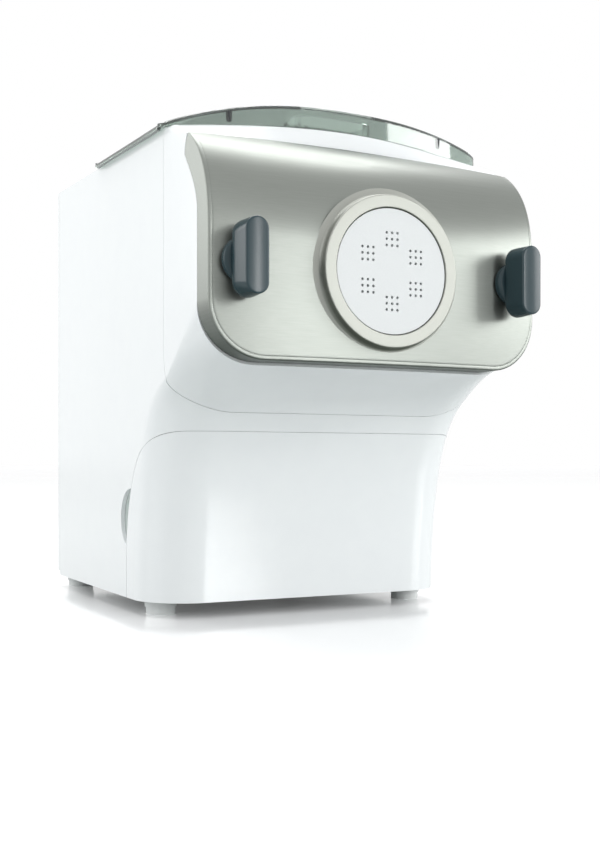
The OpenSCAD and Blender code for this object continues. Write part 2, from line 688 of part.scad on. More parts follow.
// Ring that holds the shaping disc against the tube
module mouth_ring() {
    flare = 3.5;
    color(silver) translate([0, 0, axis_z]) rotate([90, 0, 0]) rotate_extrude($fn = 128) polygon(concat(
        [[ring_bore_r, -disc_shoulder_y + loose], [ring_bore_r, ring_reach - 0.5],
         [ring_bore_r + 0.5, ring_reach]],
        arc_points(ring_r - 1.5, ring_reach - 1.5, 1.5, 90, 0, 5),
        arc_points(ring_foot_r, flare, ring_foot_r - ring_r, 180, 225, 4),
        [[ring_foot_r, 0.02], [mouth_bore_r - 0.1, 0.02], [mouth_bore_r - 0.1, -disc_shoulder_y + loose]]));
}

// Perforated shaping disc
module shaping_disc() {
    color([0.97, 0.97, 0.97]) translate([0, 0, axis_z]) rotate([90, 0, 0]) difference() {
        union() {
            translate([0, 0, -disc_shoulder_y])
                cylinder(r = disc_r, h = disc_shoulder_y - disc_face_y, $fn = 128);
            translate([0, 0, -disc_back_y]) cylinder(r = disc_shoulder_r, h = disc_back_y - disc_shoulder_y);
        }
        for (k = [0:cluster_n - 1]) rotate(90 + k * 360 / cluster_n) translate([cluster_r, 0, 0])
            rotate(-90 - k * 360 / cluster_n) for (i = [-1:1], j = [-1:1])
                translate([i * hole_pitch, j * hole_pitch, -disc_back_y - 1])
                    cylinder(r = hole_r, h = disc_back_y - disc_face_y + 2, $fn = 16);
        translate([0, 0, -disc_back_y - 1]) cylinder(r = screw_nose_r + running, h = 5);
    }
}

// Tube that the screw pushes the dough through
module extrusion_tube() {
    y1 = disc_back_y + tube_flange_t;
    color([0.88, 0.88, 0.86]) translate([0, 0, axis_z]) rotate([90, 0, 0]) difference() {
        union() {
            translate([0, 0, -y1]) cylinder(r = disc_shoulder_r, h = tube_flange_t - 0.1);
            translate([0, 0, -disc_back_y - tube_l]) cylinder(r = tube_bore_r + tube_wall, h = tube_l);
        }
        translate([0, 0, -disc_back_y - tube_l - 1]) cylinder(r = tube_bore_r, h = tube_l + 2);
        // feed opening on top
        translate([-60, 4, -disc_back_y - tube_l - 1]) cube([120, 60, tube_l - 22]);
    }
}

// Stiff plate behind the front plate
module front_bulkhead() {
    color([0.80, 0.81, 0.82]) difference() {
        union() {
            translate([0, bulkhead_y, 0]) upright_extrude(bulkhead_t) {
                plate_outline(inner_half_w - loose, plate_bottom_z + 3, plate_corner_r - wall - loose,
                              swoop_low_z - 6, 0);
                plate_outline(half_w - 6, plate_bottom_z + 40, 6, swoop_high_z - 12, 4);
            }
            stud_places() translate([0, 0, -bulkhead_y - bulkhead_t - 5]) cylinder(r = 9, h = 5);
        }
        translate([0, bulkhead_y - 1, 0]) upright_extrude(bulkhead_t + 2)
            chamber_section(chamber_wall + loose, crown_z);
        stud_places() cylinder(r = stud_r + running, h = through, center = true);
    }
}

module clamp_studs() {
    color(steel) stud_places() {
        translate([0, 0, -bulkhead_y - bulkhead_t - 5])
            cylinder(r = stud_r, h = bulkhead_y + bulkhead_t + 5 - stud_front_y);
        translate([0, 0, -bulkhead_y - bulkhead_t - 8]) cylinder(r = 6.5, h = 3);
    }
}

// ---------- chamber ----------

// Front view of the trough, open at height top
module chamber_section(grow, top) {
    w = mouth_half_w + grow;
    r = trough_r + grow;
    shoulder_z = axis_z + 50;
    top_x = top < shoulder_z ? mix(r, w, (top - axis_z) / (shoulder_z - axis_z)) : w;
    polygon(concat(arc_points(0, axis_z, r, 180, 360, 32),
                   top < shoulder_z ? [] : [[w, shoulder_z]], [[top_x, top], [-top_x, top]],
                   top < shoulder_z ? [] : [[-w, shoulder_z]]));
}

module mixing_chamber() {
    y0 = chamber_y;
    y1 = chamber_end_y;
    rim_z = function(y) edge_z(y) - surround_sink - 1;
    front_t = 3.5;
    flange_z = axis_z + 25;
    color([0.90, 0.92, 0.92]) difference() {
        union() {
            translate([0, y0, 0]) upright_extrude(chamber_d) chamber_section(chamber_wall, crown_z);
            // front flange, clamped between the backing plate and the bulkhead
            translate([0, y0, 0]) upright_extrude(bulkhead_y - y0 - 0.2)
                chamber_section(chamber_wall + 3.4, flange_z);
        }
        translate([0, y0 + front_t, 0]) upright_extrude(chamber_d - front_t - chamber_wall)
            chamber_section(0, crown_z + 10);
        // rim, low at the front and level with the ledge behind
        side_extrude(2 * body_w) polygon([
            [0, axis_z + 31], [y0 + front_t, axis_z + 31], [lid_front_y + 14, rim_z(lid_front_y)],
            [y1 + 10, rim_z(y1 + 10)], [y1 + 10, crown_z + 20], [0, crown_z + 20]]);
        on_axis(axis_z, y0 - 10, 20) cylinder(r = tube_bore_r + tube_wall + loose, h = 20);
        on_axis(axis_z, y1 - 10, 20) cylinder(r = shaft_r + 4, h = 20);
    }
}

// Extrudes a side view across the body
module side_extrude(w) translate([-w / 2, 0, 0]) rotate([90, 0, 90]) linear_extrude(w) children();

module chamber_seal() {
    color([0.25, 0.25, 0.27]) translate([0, chamber_end_y + 3.4, axis_z]) rotate([90, 0, 0]) difference() {
        union() {
            cylinder(r = shaft_r + 3.8, h = 3.4 + chamber_wall + 1);
            cylinder(r = shaft_r + 7, h = 3.3);
        }
        translate([0, 0, -1]) cylinder(r = shaft_r + running, h = 12);
    }
}

// ---------- drive ----------

// Point of an involute at roll angle t (degrees) on base radius r
function involute(r, t) = [r * (cos(t) + t * PI / 180 * sin(t)), r * (sin(t) - t * PI / 180 * cos(t))];
function turned(p, a) = [p[0] * cos(a) - p[1] * sin(a), p[0] * sin(a) + p[1] * cos(a)];
// Spur gear outline with its first tooth on the +X axis. Below the base circle a tooth narrows
// to undercut of its width, which clears the tips of the mating gear.
undercut = 0.7;
function gear_points(n, m) =
    let (rp = n * m / 2, rb = rp * cos(20), ra = rp + 0.92 * m, rf = rp - 1.2 * m,
         ta = sqrt(pow(ra / rb, 2) - 1) * 180 / PI, tp = tan(20) * 180 / PI,
         half = 90 / n + (tp - 20) - backlash / rp * 90 / PI,
         low = max(rf, rb), steps = 4,
         flank = [for (i = [0:steps]) let (t = ta * i / steps) turned(involute(rb, t), -half)],
         root = [rf * cos(undercut * half), -rf * sin(undercut * half)])
    [for (k = [0:n - 1]) let (a = k * 360 / n) each concat(
        rf < rb ? [turned(root, a)] : [],
        [for (p = flank) if (norm(p) >= low) turned(p, a)],
        [for (p = reversed(flank)) if (norm(p) >= low) turned([p[0], -p[1]], a)],
        rf < rb ? [turned([root[0], -root[1]], a)] : [],
        [turned([rf * cos(180 / n), rf * sin(180 / n)], a)])];

// A gear whose tooth points up (phase 0) or whose gap does (phase 0.5)
module gear(n, m, t, phase) rotate(90 + phase * 360 / n) linear_extrude(t) polygon(gear_points(n, m));

// Places a part on an axis that runs front to back, with its low end at y + t
module on_axis(z, y, t) translate([0, y + t, z]) rotate([90, 0, 0]) children();

module output_gear() {
    // the top gap of the small pinion meets the bottom tooth of this wheel
    phase = output_teeth % 2 == 0 ? 0 : 0.5;
    color([0.92, 0.90, 0.82]) on_axis(output_z, stage2_y, stage2_t) difference() {
        gear(output_teeth, module_2, stage2_t, phase);
        translate([0, 0, -1]) cylinder(r = shaft_r + 0.01, h = stage2_t + 2);
        for (a = [30:60:330]) rotate(a) translate([0.55 * output_r, 0, -1])
            cylinder(r = 7.5, h = stage2_t + 2);
    }
}

module idler_gear() {
    phase_small = 0.5;
    phase_wheel = wheel_teeth % 2 == 0 ? 0 : 0.5;
    color([0.78, 0.74, 0.62]) difference() {
        union() {
            on_axis(idler_z, stage2_y, stage2_t + 3.2) gear(small_teeth, module_2, stage2_t + 3.2, phase_small);
            on_axis(idler_z, stage1_y, stage1_t) gear(wheel_teeth, module_1, stage1_t, phase_wheel);
        }
        on_axis(idler_z, stage2_y - 5, 60) cylinder(r = idler_pin_r + running, h = 60);
    }
}

module idler_pin() {
    y0 = rear_frame_y + 1;
    y1 = gearbox_cover_y + 3;
    color(steel) on_axis(idler_z, y0, y1 - y0) cylinder(r = idler_pin_r, h = y1 - y0);
}

module motor_pinion() {
    color(steel) on_axis(motor_z, stage1_y - 1, stage1_t + 2) difference() {
        gear(pinion_teeth, module_1, stage1_t + 2, 0.5);
        translate([0, 0, -1]) cylinder(r = rotor_shaft_r - 0.2, h = stage1_t + 4);
    }
}

module motor_rotor() {
    y0 = stage1_y - 1;
    y1 = motor_y + motor_l + 12;
    core_y = motor_y + 10;
    color([0.5, 0.42, 0.35]) {
        on_axis(motor_z, y0, y1 - y0) cylinder(r = rotor_shaft_r - 0.25, h = y1 - y0);
        on_axis(motor_z, core_y, motor_l - 22) cylinder(r = motor_r - 12, h = motor_l - 22);
    }
}

// Axial fan on the motor's tail
module cooling_fan() {
    y = motor_y + motor_l + 4;
    blades = 9;
    color([0.2, 0.2, 0.22]) on_axis(motor_z, y, 7) difference() {
        union() {
            cylinder(r = 8, h = 7);
            for (k = [0:blades - 1]) rotate(k * 360 / blades) translate([6, -0.8, 0])
                rotate([35, 0, 0]) cube([motor_r - 12, 1.6, 6]);
        }
        translate([0, 0, -1]) cylinder(r = rotor_shaft_r - 0.2, h = 9);
        translate([0, 0, 7]) cylinder(r = motor_r, h = 6);
        translate([0, 0, -6]) cylinder(r = motor_r, h = 6);
    }
}

module gearbox_outline(grow) {
    translate([0, output_z]) circle(r = output_r + 3.5 + grow);
    translate([0, idler_z]) circle(r = wheel_r + 3.5 + grow);
    translate([0, motor_z]) circle(r = 20 + grow);
}
// Point at distance r and angle a, on the right (s = 1) or the left (s = -1) of height z
function polar(s, r, a, z) = [s * r * cos(a), z + r * sin(a)];
function gearbox_screw_places() = [for (s = [-1, 1]) each [
    polar(s, wheel_r + 10.7, -23, idler_z), polar(s, output_r + 9.6, -8, output_z),
    polar(s, output_r + 8.3, 60, output_z)]];

module gearbox_housing() {
    y0 = rear_frame_y + rear_frame_t;
    d = gearbox_cover_y - y0;
    color([0.75, 0.76, 0.78]) difference() {
        translate([0, y0, 0]) upright_extrude(d) {
            gearbox_outline(gearbox_wall);
            for (p = gearbox_screw_places()) translate(p) circle(r = 4.5);
        }
        translate([0, y0 - 1, 0]) upright_extrude(d + 2) gearbox_outline(0);
        for (p = gearbox_screw_places()) translate([p[0], 0, p[1]]) rotate([90, 0, 0])
            cylinder(r = 2.1, h = through, center = true);
    }
}

module gearbox_cover() {
    color([0.70, 0.71, 0.73]) difference() {
        translate([0, gearbox_cover_y, 0]) upright_extrude(gearbox_cover_t) {
            gearbox_outline(gearbox_wall);
            for (p = gearbox_screw_places()) translate(p) circle(r = 4.5);
            translate([0, motor_z]) circle(r = motor_r);
        }
        on_axis(output_z, gearbox_cover_y - 1, 10) cylinder(r = shaft_r + 3, h = 10);
        on_axis(motor_z, gearbox_cover_y - 1, 10) cylinder(r = 9, h = 10);
        on_axis(idler_z, gearbox_cover_y - 1, 4) cylinder(r = idler_pin_r + 0.01, h = 4);
        for (p = gearbox_screw_places()) translate([p[0], 0, p[1]]) rotate([90, 0, 0])
            cylinder(r = 2.1, h = through, center = true);
    }
}

// Bearings of the output shaft and of the motor
module bearing_bushes() {
    color([0.72, 0.55, 0.30]) {
        bush(output_z, rear_frame_y, rear_frame_t, shaft_r, 3);
        bush(output_z, gearbox_cover_y, gearbox_cover_t, shaft_r, 3);
        bush(motor_z, gearbox_cover_y, gearbox_cover_t, rotor_shaft_r - 0.25, 9 - rotor_shaft_r + 0.25);
        bush(motor_z, motor_y + motor_l - 5, 5, rotor_shaft_r - 0.25, 5);
    }
}
module bush(z, y, t, r, w) {
    on_axis(z, y, t) difference() {
        cylinder(r = r + w, h = t);
        translate([0, 0, -1]) cylinder(r = r + running, h = t + 2);
    }
}

module motor_case() {
    color(steel) difference() {
        on_axis(motor_z, motor_y, motor_l - 5) cylinder(r = motor_r, h = motor_l - 5);
        on_axis(motor_z, motor_y + 3, motor_l) cylinder(r = motor_r - 10, h = motor_l);
        on_axis(motor_z, motor_y - 1, 6) cylinder(r = 11, h = 6);
        on_axis(motor_z, motor_y + motor_l - 14, 12) difference() {
            cylinder(r = motor_r + 1, h = 4);
            translate([0, 0, -1]) cylinder(r = motor_r - 1.5, h = 6);
        }
    }
}

module motor_end_cap() {
    y = motor_y + motor_l - 5;
    color([0.3, 0.3, 0.32]) difference() {
        on_axis(motor_z, y, 5) cylinder(r = motor_r, h = 5);
        on_axis(motor_z, y - 1, 8) cylinder(r = rotor_shaft_r + 4.75, h = 8);
        for (a = [0:60:300]) translate([0, y - 1, motor_z]) rotate([0, a, 0]) translate([18, 0, 0])
            rotate([-90, 0, 0]) cylinder(r = 5, h = 8);
    }
}

module gearbox_screws() {
    y0 = rear_frame_y + 0.5;
    y1 = gearbox_cover_y + gearbox_cover_t;
    color(steel) for (p = gearbox_screw_places()) translate([p[0], 0, p[1]]) rotate([90, 0, 0]) {
        translate([0, 0, -y1]) cylinder(r = 2, h = y1 - y0);
        translate([0, 0, -y1 - 2.2]) cylinder(r = 3.8, h = 2.2);
    }
}

// Upright plate that carries the chamber's rear end and the gearbox
module rear_frame() {
    top = edge_z(rear_frame_y) - surround_sink - surround_t - 0.4;
    w = inner_half_w - loose;
    color([0.82, 0.83, 0.84]) difference() {
        translate([0, rear_frame_y, 0]) upright_extrude(rear_frame_t)
            polygon([[-w, floor_gap + base_t], [w, floor_gap + base_t], [w, top], [-w, top]]);
        on_axis(output_z, rear_frame_y - 1, 8) cylinder(r = shaft_r + 3, h = 8);
        on_axis(idler_z, rear_frame_y + 1, 8) cylinder(r = idler_pin_r + 0.01, h = 8);
        for (p = gearbox_screw_places()) translate([p[0], rear_frame_y - 1, p[1]]) rotate([-90, 0, 0])
            cylinder(r = 2.1, h = rear_frame_t + 2);
    }
}

// Posts from the rear frame to the rear cover, which its screws bite into
module cover_posts() {
    y0 = rear_frame_y + rear_frame_t;
    l = body_d - wall - 0.05 - y0;
    color([0.82, 0.83, 0.84]) for (p = post_places()) translate([p[0], 0, 0]) difference() {
        on_axis(p[1], y0, l) cylinder(r = post_r, h = l);
        on_axis(p[1], body_d - wall - 16, 30) cylinder(r = screw_r, h = 30);
    }
}
function post_places() = [for (s = [-1, 1]) each [[s * 44, 24], [s * (half_w - 19.5), rear_top_z - 33]]];

module drive_shaft() {
    y0 = chamber_end_y - 30;
    y1 = gearbox_cover_y + gearbox_cover_t;
    color(steel) {
        on_axis(output_z, y0 + 28, y1 - y0 - 28) cylinder(r = shaft_r, h = y1 - y0 - 28);
        translate([-3, y0, output_z - 3]) cube([6, 28.5, 6]);
    }
}

// Bars that knead the dough
module mixing_paddle() {
    y0 = disc_back_y + tube_l + 4;
    y1 = chamber_end_y - chamber_wall - 3;
    bars = 4;
    color([0.86, 0.87, 0.86]) difference() {
        union() {
            on_axis(output_z, y0, y1 - y0) cylinder(r = 9, h = y1 - y0);
            for (k = [0:bars - 1]) {
                y = mix(y0 + 10, y1 - 10, k / (bars - 1));
                translate([0, y, output_z]) rotate([0, 45 + k * 180, 0]) {
                    translate([0, 0, paddle_r / 2]) cube([9, 9, paddle_r - 2], center = true);
                    translate([0, 0, paddle_r - 3.5]) cube([16, 20, 5], center = true);
                }
            }
        }
        translate([-3.1, y1 - 27, output_z - 3.1]) cube([6.2, 40, 6.2]);
        translate([-4.1, y0 - 1, output_z - 4.1]) cube([8.2, 15, 8.2]);
    }
}

// Helical flight about +Z: four corners per station, joined into one closed strip
module flight(r0, r1, t, h, turns) {
    n = turns * 20;
    ring = [for (i = [0:n]) let (a = i / n * turns * 360, z = mix(t / 2, h - t / 2, i / n))
        each [for (q = [[r0, -t / 2], [r1, -t / 2 + 0.8], [r1, t / 2 - 0.8], [r0, t / 2]])
            [q[0] * cos(a), -q[0] * sin(a), z + q[1]]]];
    sides = [for (i = [0:n - 1], k = [0:3]) let (a = i * 4 + k, b = i * 4 + (k + 1) % 4)
        each [[a, b + 4, b], [a, a + 4, b + 4]]];
    tail = [[4 * n + 2, 4 * n + 1, 4 * n], [4 * n + 3, 4 * n + 2, 4 * n]];
    polyhedron(ring, concat([[1, 2, 3], [0, 1, 3]], sides, tail), convexity = 10);
}

// Screw that drives the dough through the disc
module extrusion_screw() {
    y1 = disc_back_y + tube_l + 0.6;
    nose = 3.5;
    l = y1 - disc_back_y - 2;
    color([0.90, 0.90, 0.89]) {
        on_axis(output_z, y1 - l, l) {
            cylinder(r = screw_core_r, h = l);
            translate([0, 0, 1]) flight(screw_core_r - 0.6, tube_bore_r - 0.8, 6, l - 2, 2.5);
            translate([0, 0, l - 0.01]) cylinder(r = screw_nose_r, h = 2 + nose);
        }
        translate([-4, y1 - 0.01, output_z - 4]) cube([8, 15, 8]);
    }
}

// ---------- lid ----------

lid_front = function(x) lid_front_y + lid_bow * pow(abs(x) / lid_half_w, 2);

// Lid outline, anticlockwise from the middle of the front edge; the tray's opening has as many points
function lid_outline() =
    let (w = lid_half_w, r = 10, yr = lid_rear_y,
         front = [for (i = [0:8]) let (x = i / 8 * (w - 3)) [x, lid_front(x)]],
         corner = arc_points(w - 6, lid_front(w) + 5, 6, -40, 0, 3),
         rear = arc_points(w - r, yr - r, r, 0, 90, 4),
         right = concat(front, corner, [for (i = [1:5]) [w, mix(lid_front(w) + 5, yr - r, i / 6)]], rear,
                        [for (i = [1:5]) [mix(w - r, 0, i / 6), yr]]))
    concat(right, [[0, yr]], [for (i = [len(right) - 1:-1:1]) [-right[i][0], right[i][1]]]);

// Point of the tray's opening on the ray from its centre at angle a
function tray_point(a, grow) =
    let (w = tray_half_w + grow, d = tray_half_d + grow, c = cos(a), s = sin(a), e = 5,
         k = pow(pow(abs(c) / w, e) + pow(abs(s) / d, e), -1 / e))
    [k * c, tray_y + k * s];

module lid() {
    outline = lid_outline();
    n = len(outline);
    angle = function(p) atan2(p[1] - tray_y, p[0]);
    rows = [0, 0.16, 0.36, 0.6, 0.82, 0.94, 0.985, 1];
    bulge = [0, 0, 0, 0, 0, 0.35, 1.0, 2.4];
    skirt = function(p) edge_z(p[1]) + (abs(p[0]) > lid_half_w - 0.1 ? -lid_drop : loose);
    deep = function(p)
        p[1] < lid_front(0) + lid_bow - 1 ? bezel_edge_z(min(half_w, abs(p[0]))) + 0.5 : skirt(p);
    g = [for (p = outline) let (q = tray_point(angle(p), 0)) concat(
        [for (j = [0:len(rows) - 1]) let (c = mix(q, p, rows[j]))
            [c[0], c[1], max(top_z(c[0], c[1]) - bulge[j], deep(p) + lid_t)]],
        [[p[0], p[1], deep(p)]])];
    color(clear) grid_shell([for (c = g) reversed(c)], lid_t, closed = true);
}

// Sunken tray with slots, through which liquid is poured in
module pour_tray() {
    depth = 9;
    zt = top_z(tray_half_w, tray_y) - 0.6;
    angles = [for (p = lid_outline()) atan2(p[1] - tray_y, p[0])];
    loop = [for (a = angles) tray_point(a, -0.35)];
    floor_loop = [for (a = angles) tray_point(a, -0.35 - lid_t)];
    color(clear) difference() {
        translate([0, 0, zt - depth]) linear_extrude(depth) polygon(loop);
        translate([0, 0, zt - depth + lid_t]) linear_extrude(depth) polygon(floor_loop);
        for (k = [-4:4]) translate([k * 5.6 - 1.1, tray_y - 8, zt - depth - 1]) cube([2.2, 16, lid_t + 2]);
    }
}

// Barrels on the lid's rear edge
module lid_knuckles() {
    z = hinge_z();
    color(clear) for (s = [-1, 1]) translate([s * hinge_x, 0, 0]) difference() {
        union() {
            translate([-knuckle_l / 2, hinge_y, z]) rotate([0, 90, 0]) cylinder(r = knuckle_r, h = knuckle_l);
            translate([-knuckle_l / 2, lid_rear_y + 0.05, z - 5.4])
                cube([knuckle_l, hinge_y - lid_rear_y, 6.4]);
        }
        translate([-knuckle_l, hinge_y, z]) rotate([0, 90, 0]) cylinder(r = pin_r + running, h = 2 * knuckle_l);
    }
}
function hinge_z() = top_z(hinge_x, lid_rear_y) - 1;

// Ears of the lid's hinge, on the rear hood
module hinge_brackets() {
    z = hinge_z();
    t = 3;
    color(white) for (s = [-1, 1], k = [-1, 1])
        translate([s * hinge_x + k * (knuckle_l / 2 + loose + t / 2) - t / 2, 0, 0]) difference() {
            union() {
                translate([0, hinge_y, z]) rotate([0, 90, 0]) cylinder(r = knuckle_r, h = t);
                translate([0, hinge_y, z - knuckle_r]) cube([t, hood_y - 0.05 - hinge_y, 2 * knuckle_r - 1.5]);
            }
            translate([-1, hinge_y, z]) rotate([0, 90, 0]) cylinder(r = pin_r, h = t + 2);
        }
}

module hinge_pins() {
    l = knuckle_l + 2 * (loose + 3);
    color(steel) for (s = [-1, 1]) translate([s * hinge_x - l / 2, hinge_y, hinge_z()])
        rotate([0, 90, 0]) cylinder(r = pin_r, h = l);
}

// Micro switch that the closed lid holds down
module lid_switch() {
    top = edge_z(switch_body_y) - surround_sink - surround_t - 0.6;
    color([0.15, 0.15, 0.17]) difference() {
        translate([switch_x - 6, switch_body_y - 10, top - 16]) cube([12, 20, 16]);
        translate([switch_x, switch_body_y, top - 10]) cylinder(r = 2 + running, h = 20);
    }
}

module switch_plunger() {
    low = edge_z(switch_body_y) - surround_sink - surround_t - 0.6 - 8;
    high = top_z(switch_x, switch_body_y) - lid_t - 0.6;
    color([0.7, 0.2, 0.15]) translate([switch_x, switch_body_y, low]) cylinder(r = 2, h = high - low);
}

// ---------- knobs ----------

// Tapered grip of a clamp knob
module knob_grip(s) {
    root_y = -(knob_gap + knob_boss_t);
    color(slate) hull() for (k = [-1, 1]) translate([s * knob_x, 0, axis_z]) {
        translate([0, root_y, k * (knob_h / 2 - knob_root_w / 2)]) rotate([90, 0, 0])
            cylinder(r = knob_root_w / 2, h = 3, $fn = 32);
        translate([0, 1.6 - knob_reach, k * (knob_h / 2 - knob_w / 2 - 0.4)]) rotate([90, 0, 0])
            cylinder(r1 = knob_w / 2, r2 = knob_w / 2 - 1.6, h = 1.6, $fn = 32);
    }
}

// Boss and threaded sleeve of a clamp knob, with its retaining collar
module knob_sleeve(s) {
    // the boss and the collar keep clear of the plate, which slopes where the knob sits
    lean = sweep_power * plate_bow / half_w * pow(knob_x / half_w, sweep_power - 1);
    seat_y = sweep(knob_x) - lean * knob_boss_r - knob_gap;
    collar_t = 3;
    collar_y = sweep(knob_x) + plate_wall + lean * (sleeve_r + collar_t) + loose;
    color(slate) translate([s * knob_x, 0, axis_z]) rotate([90, 0, 0]) difference() {
        union() {
            translate([0, 0, -seat_y]) cylinder(r = knob_boss_r, h = seat_y + knob_gap + knob_boss_t);
            translate([0, 0, -sleeve_end_y]) cylinder(r = sleeve_r, h = sleeve_end_y + knob_gap + 0.1);
            translate([0, 0, -collar_y - collar_t]) cylinder(r = sleeve_r + collar_t, h = collar_t);
        }
        translate([0, 0, -sleeve_end_y - 1])
            cylinder(r = stud_r + running, h = sleeve_end_y + 1 - stud_front_y + 0.5);
    }
}

// ---------- drawer ----------

module drawer_front() {
    flat = half_w - corner_r;
    arc = corner_r * PI / 2;
    rows = 9;
    front = [for (u = front_columns()) let (hi = drawer_seam_at(u) - seam)
        [for (j = [0:rows]) body_point(u, mix(floor_gap, hi, j / rows))]];
    y0 = neck_y(drawer_seam_at(flat + arc)) + corner_r;
    low_y = neck_y(floor_gap) + corner_r;
    end_y = drawer_side_y - seam;
    side = [for (a = [15:15:75]) let (yt = mix(y0, end_y, sin(a)), yl = mix(low_y, end_y, sin(a)))
        [for (j = [0:rows]) let (t = j / rows)
            side_point(mix(yl, yt, t), mix(floor_gap, max(drawer_side_z(yt) - seam, drawer_arc_low), t))]];
    last = [[for (j = [0:rows]) side_point(end_y, mix(floor_gap, drawer_arc_low + 4, j / rows))]];
    color(white) grid_shell(whole_band(concat(front, side, last)), wall);
}

tray_front_y = base_setback + wall + 10;
tray_rear_y = rear_frame_y - 12;
tray_half = half_w - 19.5;
tray_wall = 2.4;
tray_floor_z = floor_gap + base_t + 6;
rib_z = tray_floor_z + 16;
rib_h = 4;

// Open tray behind the drawer's face
module drawer_tray() {
    l = tray_rear_y - tray_front_y;
    tie_x = tray_half - 34;
    tie_rows = [for (i = [0:6]) let (z = tray_floor_z + i / 12 * tray_h) [neck_y(z) + 1.08 * wall + loose, z]];
    color([0.90, 0.91, 0.91]) difference() {
        union() {
            translate([-tray_half, tray_front_y, tray_floor_z]) cube([2 * tray_half, l, tray_h]);
            for (s = [-1, 1]) {
                translate([s * tie_x, 0, 0]) side_extrude(16)
                    polygon(concat([[tray_front_y + 1, tray_floor_z]], tie_rows,
                                   [[tray_front_y + 1, tray_floor_z + tray_h / 2]]));
                translate([s * (tray_half + 2) - 2, tray_front_y + 12, rib_z]) cube([4, l - 12, rib_h]);
            }
        }
        translate([-tray_half + tray_wall, tray_front_y + tray_wall, tray_floor_z + tray_wall])
            cube([2 * (tray_half - tray_wall), l - 2 * tray_wall, tray_h]);
    }
}

// Runners on the floor that guide the tray's side ribs
module drawer_runners() {
    y0 = base_front_y + 12;
    l = rear_frame_y - seam - y0;
    rail_t = 3;
    post_h = rib_z + rib_h + loose + rail_t - floor_gap - base_t;
    color([0.80, 0.82, 0.83]) for (s = [-1, 1]) translate([s * (tray_half + 6.5), y0, 0]) {
        translate([-2, 0, floor_gap + base_t]) cube([4, l, post_h]);
        for (z = [rib_z - loose - rail_t, rib_z + rib_h + loose])
            translate([s > 0 ? -6 : 0, 0, z]) cube([6, l, rail_t]);
    }
}

// Dished pockets behind the finger notches
module grip_pockets() {
    depth = 7.4;
    floor_t = 2;
    color([0.84, 0.87, 0.86]) difference() {
        for (s = [-1, 1])
            translate([s * (inner_half_w - loose - depth), notch_y, notch_z]) rotate([0, s * 90, 0])
                difference() {
                    cylinder(r = notch_r + 3, h = depth);
                    translate([0, 0, floor_t]) cylinder(r = notch_r, h = depth);
                }
        // flat in front, clear of the drawer's rounded corners
        translate([-half_w, 0, 0]) cube([body_w, notch_y - notch_r / 2, 2 * notch_z]);
    }
}

// ---------- controls and electrics ----------

module on_side(dy, dz, x) translate([x, panel_y + dy, panel_z + dz]) rotate([0, 90, 0]) children();

// Fascia in the right-hand wall
module control_panel() {
    color([0.25, 0.27, 0.28]) difference() {
        union() {
            translate([half_w - panel_t / 2, panel_y, panel_z])
                cube([panel_t, 2 * (panel_half_y - seam), 2 * (panel_half_z - seam)], center = true);
            translate([flange_x + flange_t / 2, panel_y, panel_z])
                cube([flange_t, 2 * panel_half_y + 6, 2 * panel_half_z + 6], center = true);
        }
        for (p = button_places()) on_side(p[0], p[1], half_w - 10) cylinder(r = button_r + loose, h = 20);
        translate([half_w, panel_y, panel_z + display_dz])
            cube([30, 2 * display_half_y, 2 * display_half_z], center = true);
    }
}
function button_places() = [for (y = button_y, z = button_z) [y, z]];

module display_window() {
    color([0.10, 0.12, 0.13]) translate([half_w - panel_t / 2 - 0.2, panel_y, panel_z + display_dz])
        cube([panel_t + 0.6, 2 * display_half_y - 0.2, 2 * display_half_z - 0.2], center = true);
}

module control_button(k) {
    p = button_places()[k];
    x = flange_x - 0.2 - button_flange_t;
    color([0.85, 0.87, 0.87]) {
        on_side(p[0], p[1], x) cylinder(r = button_r, h = half_w + button_cap - x);
        on_side(p[0], p[1], x) cylinder(r = button_r + 1.6, h = button_flange_t);
    }
}

board_x = inner_half_w - board_gap;
module control_board() {
    color([0.10, 0.35, 0.20]) {
        translate([board_x - 1.6, panel_y - panel_half_y, panel_z - panel_half_z])
            cube([1.6, 2 * panel_half_y, 2 * panel_half_z]);
        for (y = [-1, 1], z = [-1, 1]) on_side(y * (panel_half_y - 4), z * (panel_half_z - 4), board_x)
            cylinder(r = 2.5, h = board_gap - 3.15);
    }
}

// Tact switches behind the buttons
module button_switches() {
    top = flange_x - 0.2 - button_flange_t - button_travel - 0.25;
    color([0.15, 0.15, 0.16]) for (p = button_places())
        translate([board_x, panel_y + p[0] - 3, panel_z + p[1] - 3]) cube([top - board_x, 6, 6]);
}

module power_board() {
    x0 = -inner_half_w + 12;
    y0 = body_d - 84;
    z0 = floor_gap + base_t;
    color([0.10, 0.30, 0.18]) {
        translate([x0, y0, z0]) cube([1.6, 60, 84]);
        translate([x0 + 1.6, y0 + 10, z0 + 28]) cube([18, 26, 30]);
        translate([x0 + 1.6, y0 + 22, z0 + 72]) rotate([0, 90, 0]) cylinder(r = 8, h = 20);
    }
}

// Gland for the mains cord
module cord_gland() {
    color([0.88, 0.89, 0.89]) translate([gland_x, body_d + gland_reach, gland_z]) rotate([90, 0, 0])
        difference() {
            union() {
                cylinder(r = 9, h = gland_reach);
                cylinder(r = gland_neck_r, h = gland_reach + wall + 4);
            }
            translate([0, 0, -1]) cylinder(r = 3.6, h = 20);
        }
}

// Screws that hold the rear cover to the rear frame's posts
module housing_screws() {
    color(steel) for (p = post_places()) translate([p[0], 0, 0]) {
        on_axis(p[1], body_d - wall - 12, 12 + wall + 0.1) cylinder(r = screw_r - 0.01, h = 12 + wall + 0.1);
        on_axis(p[1], body_d + 0.02, 1.2) cylinder(r = 3.2, h = 1.2);
    }
}

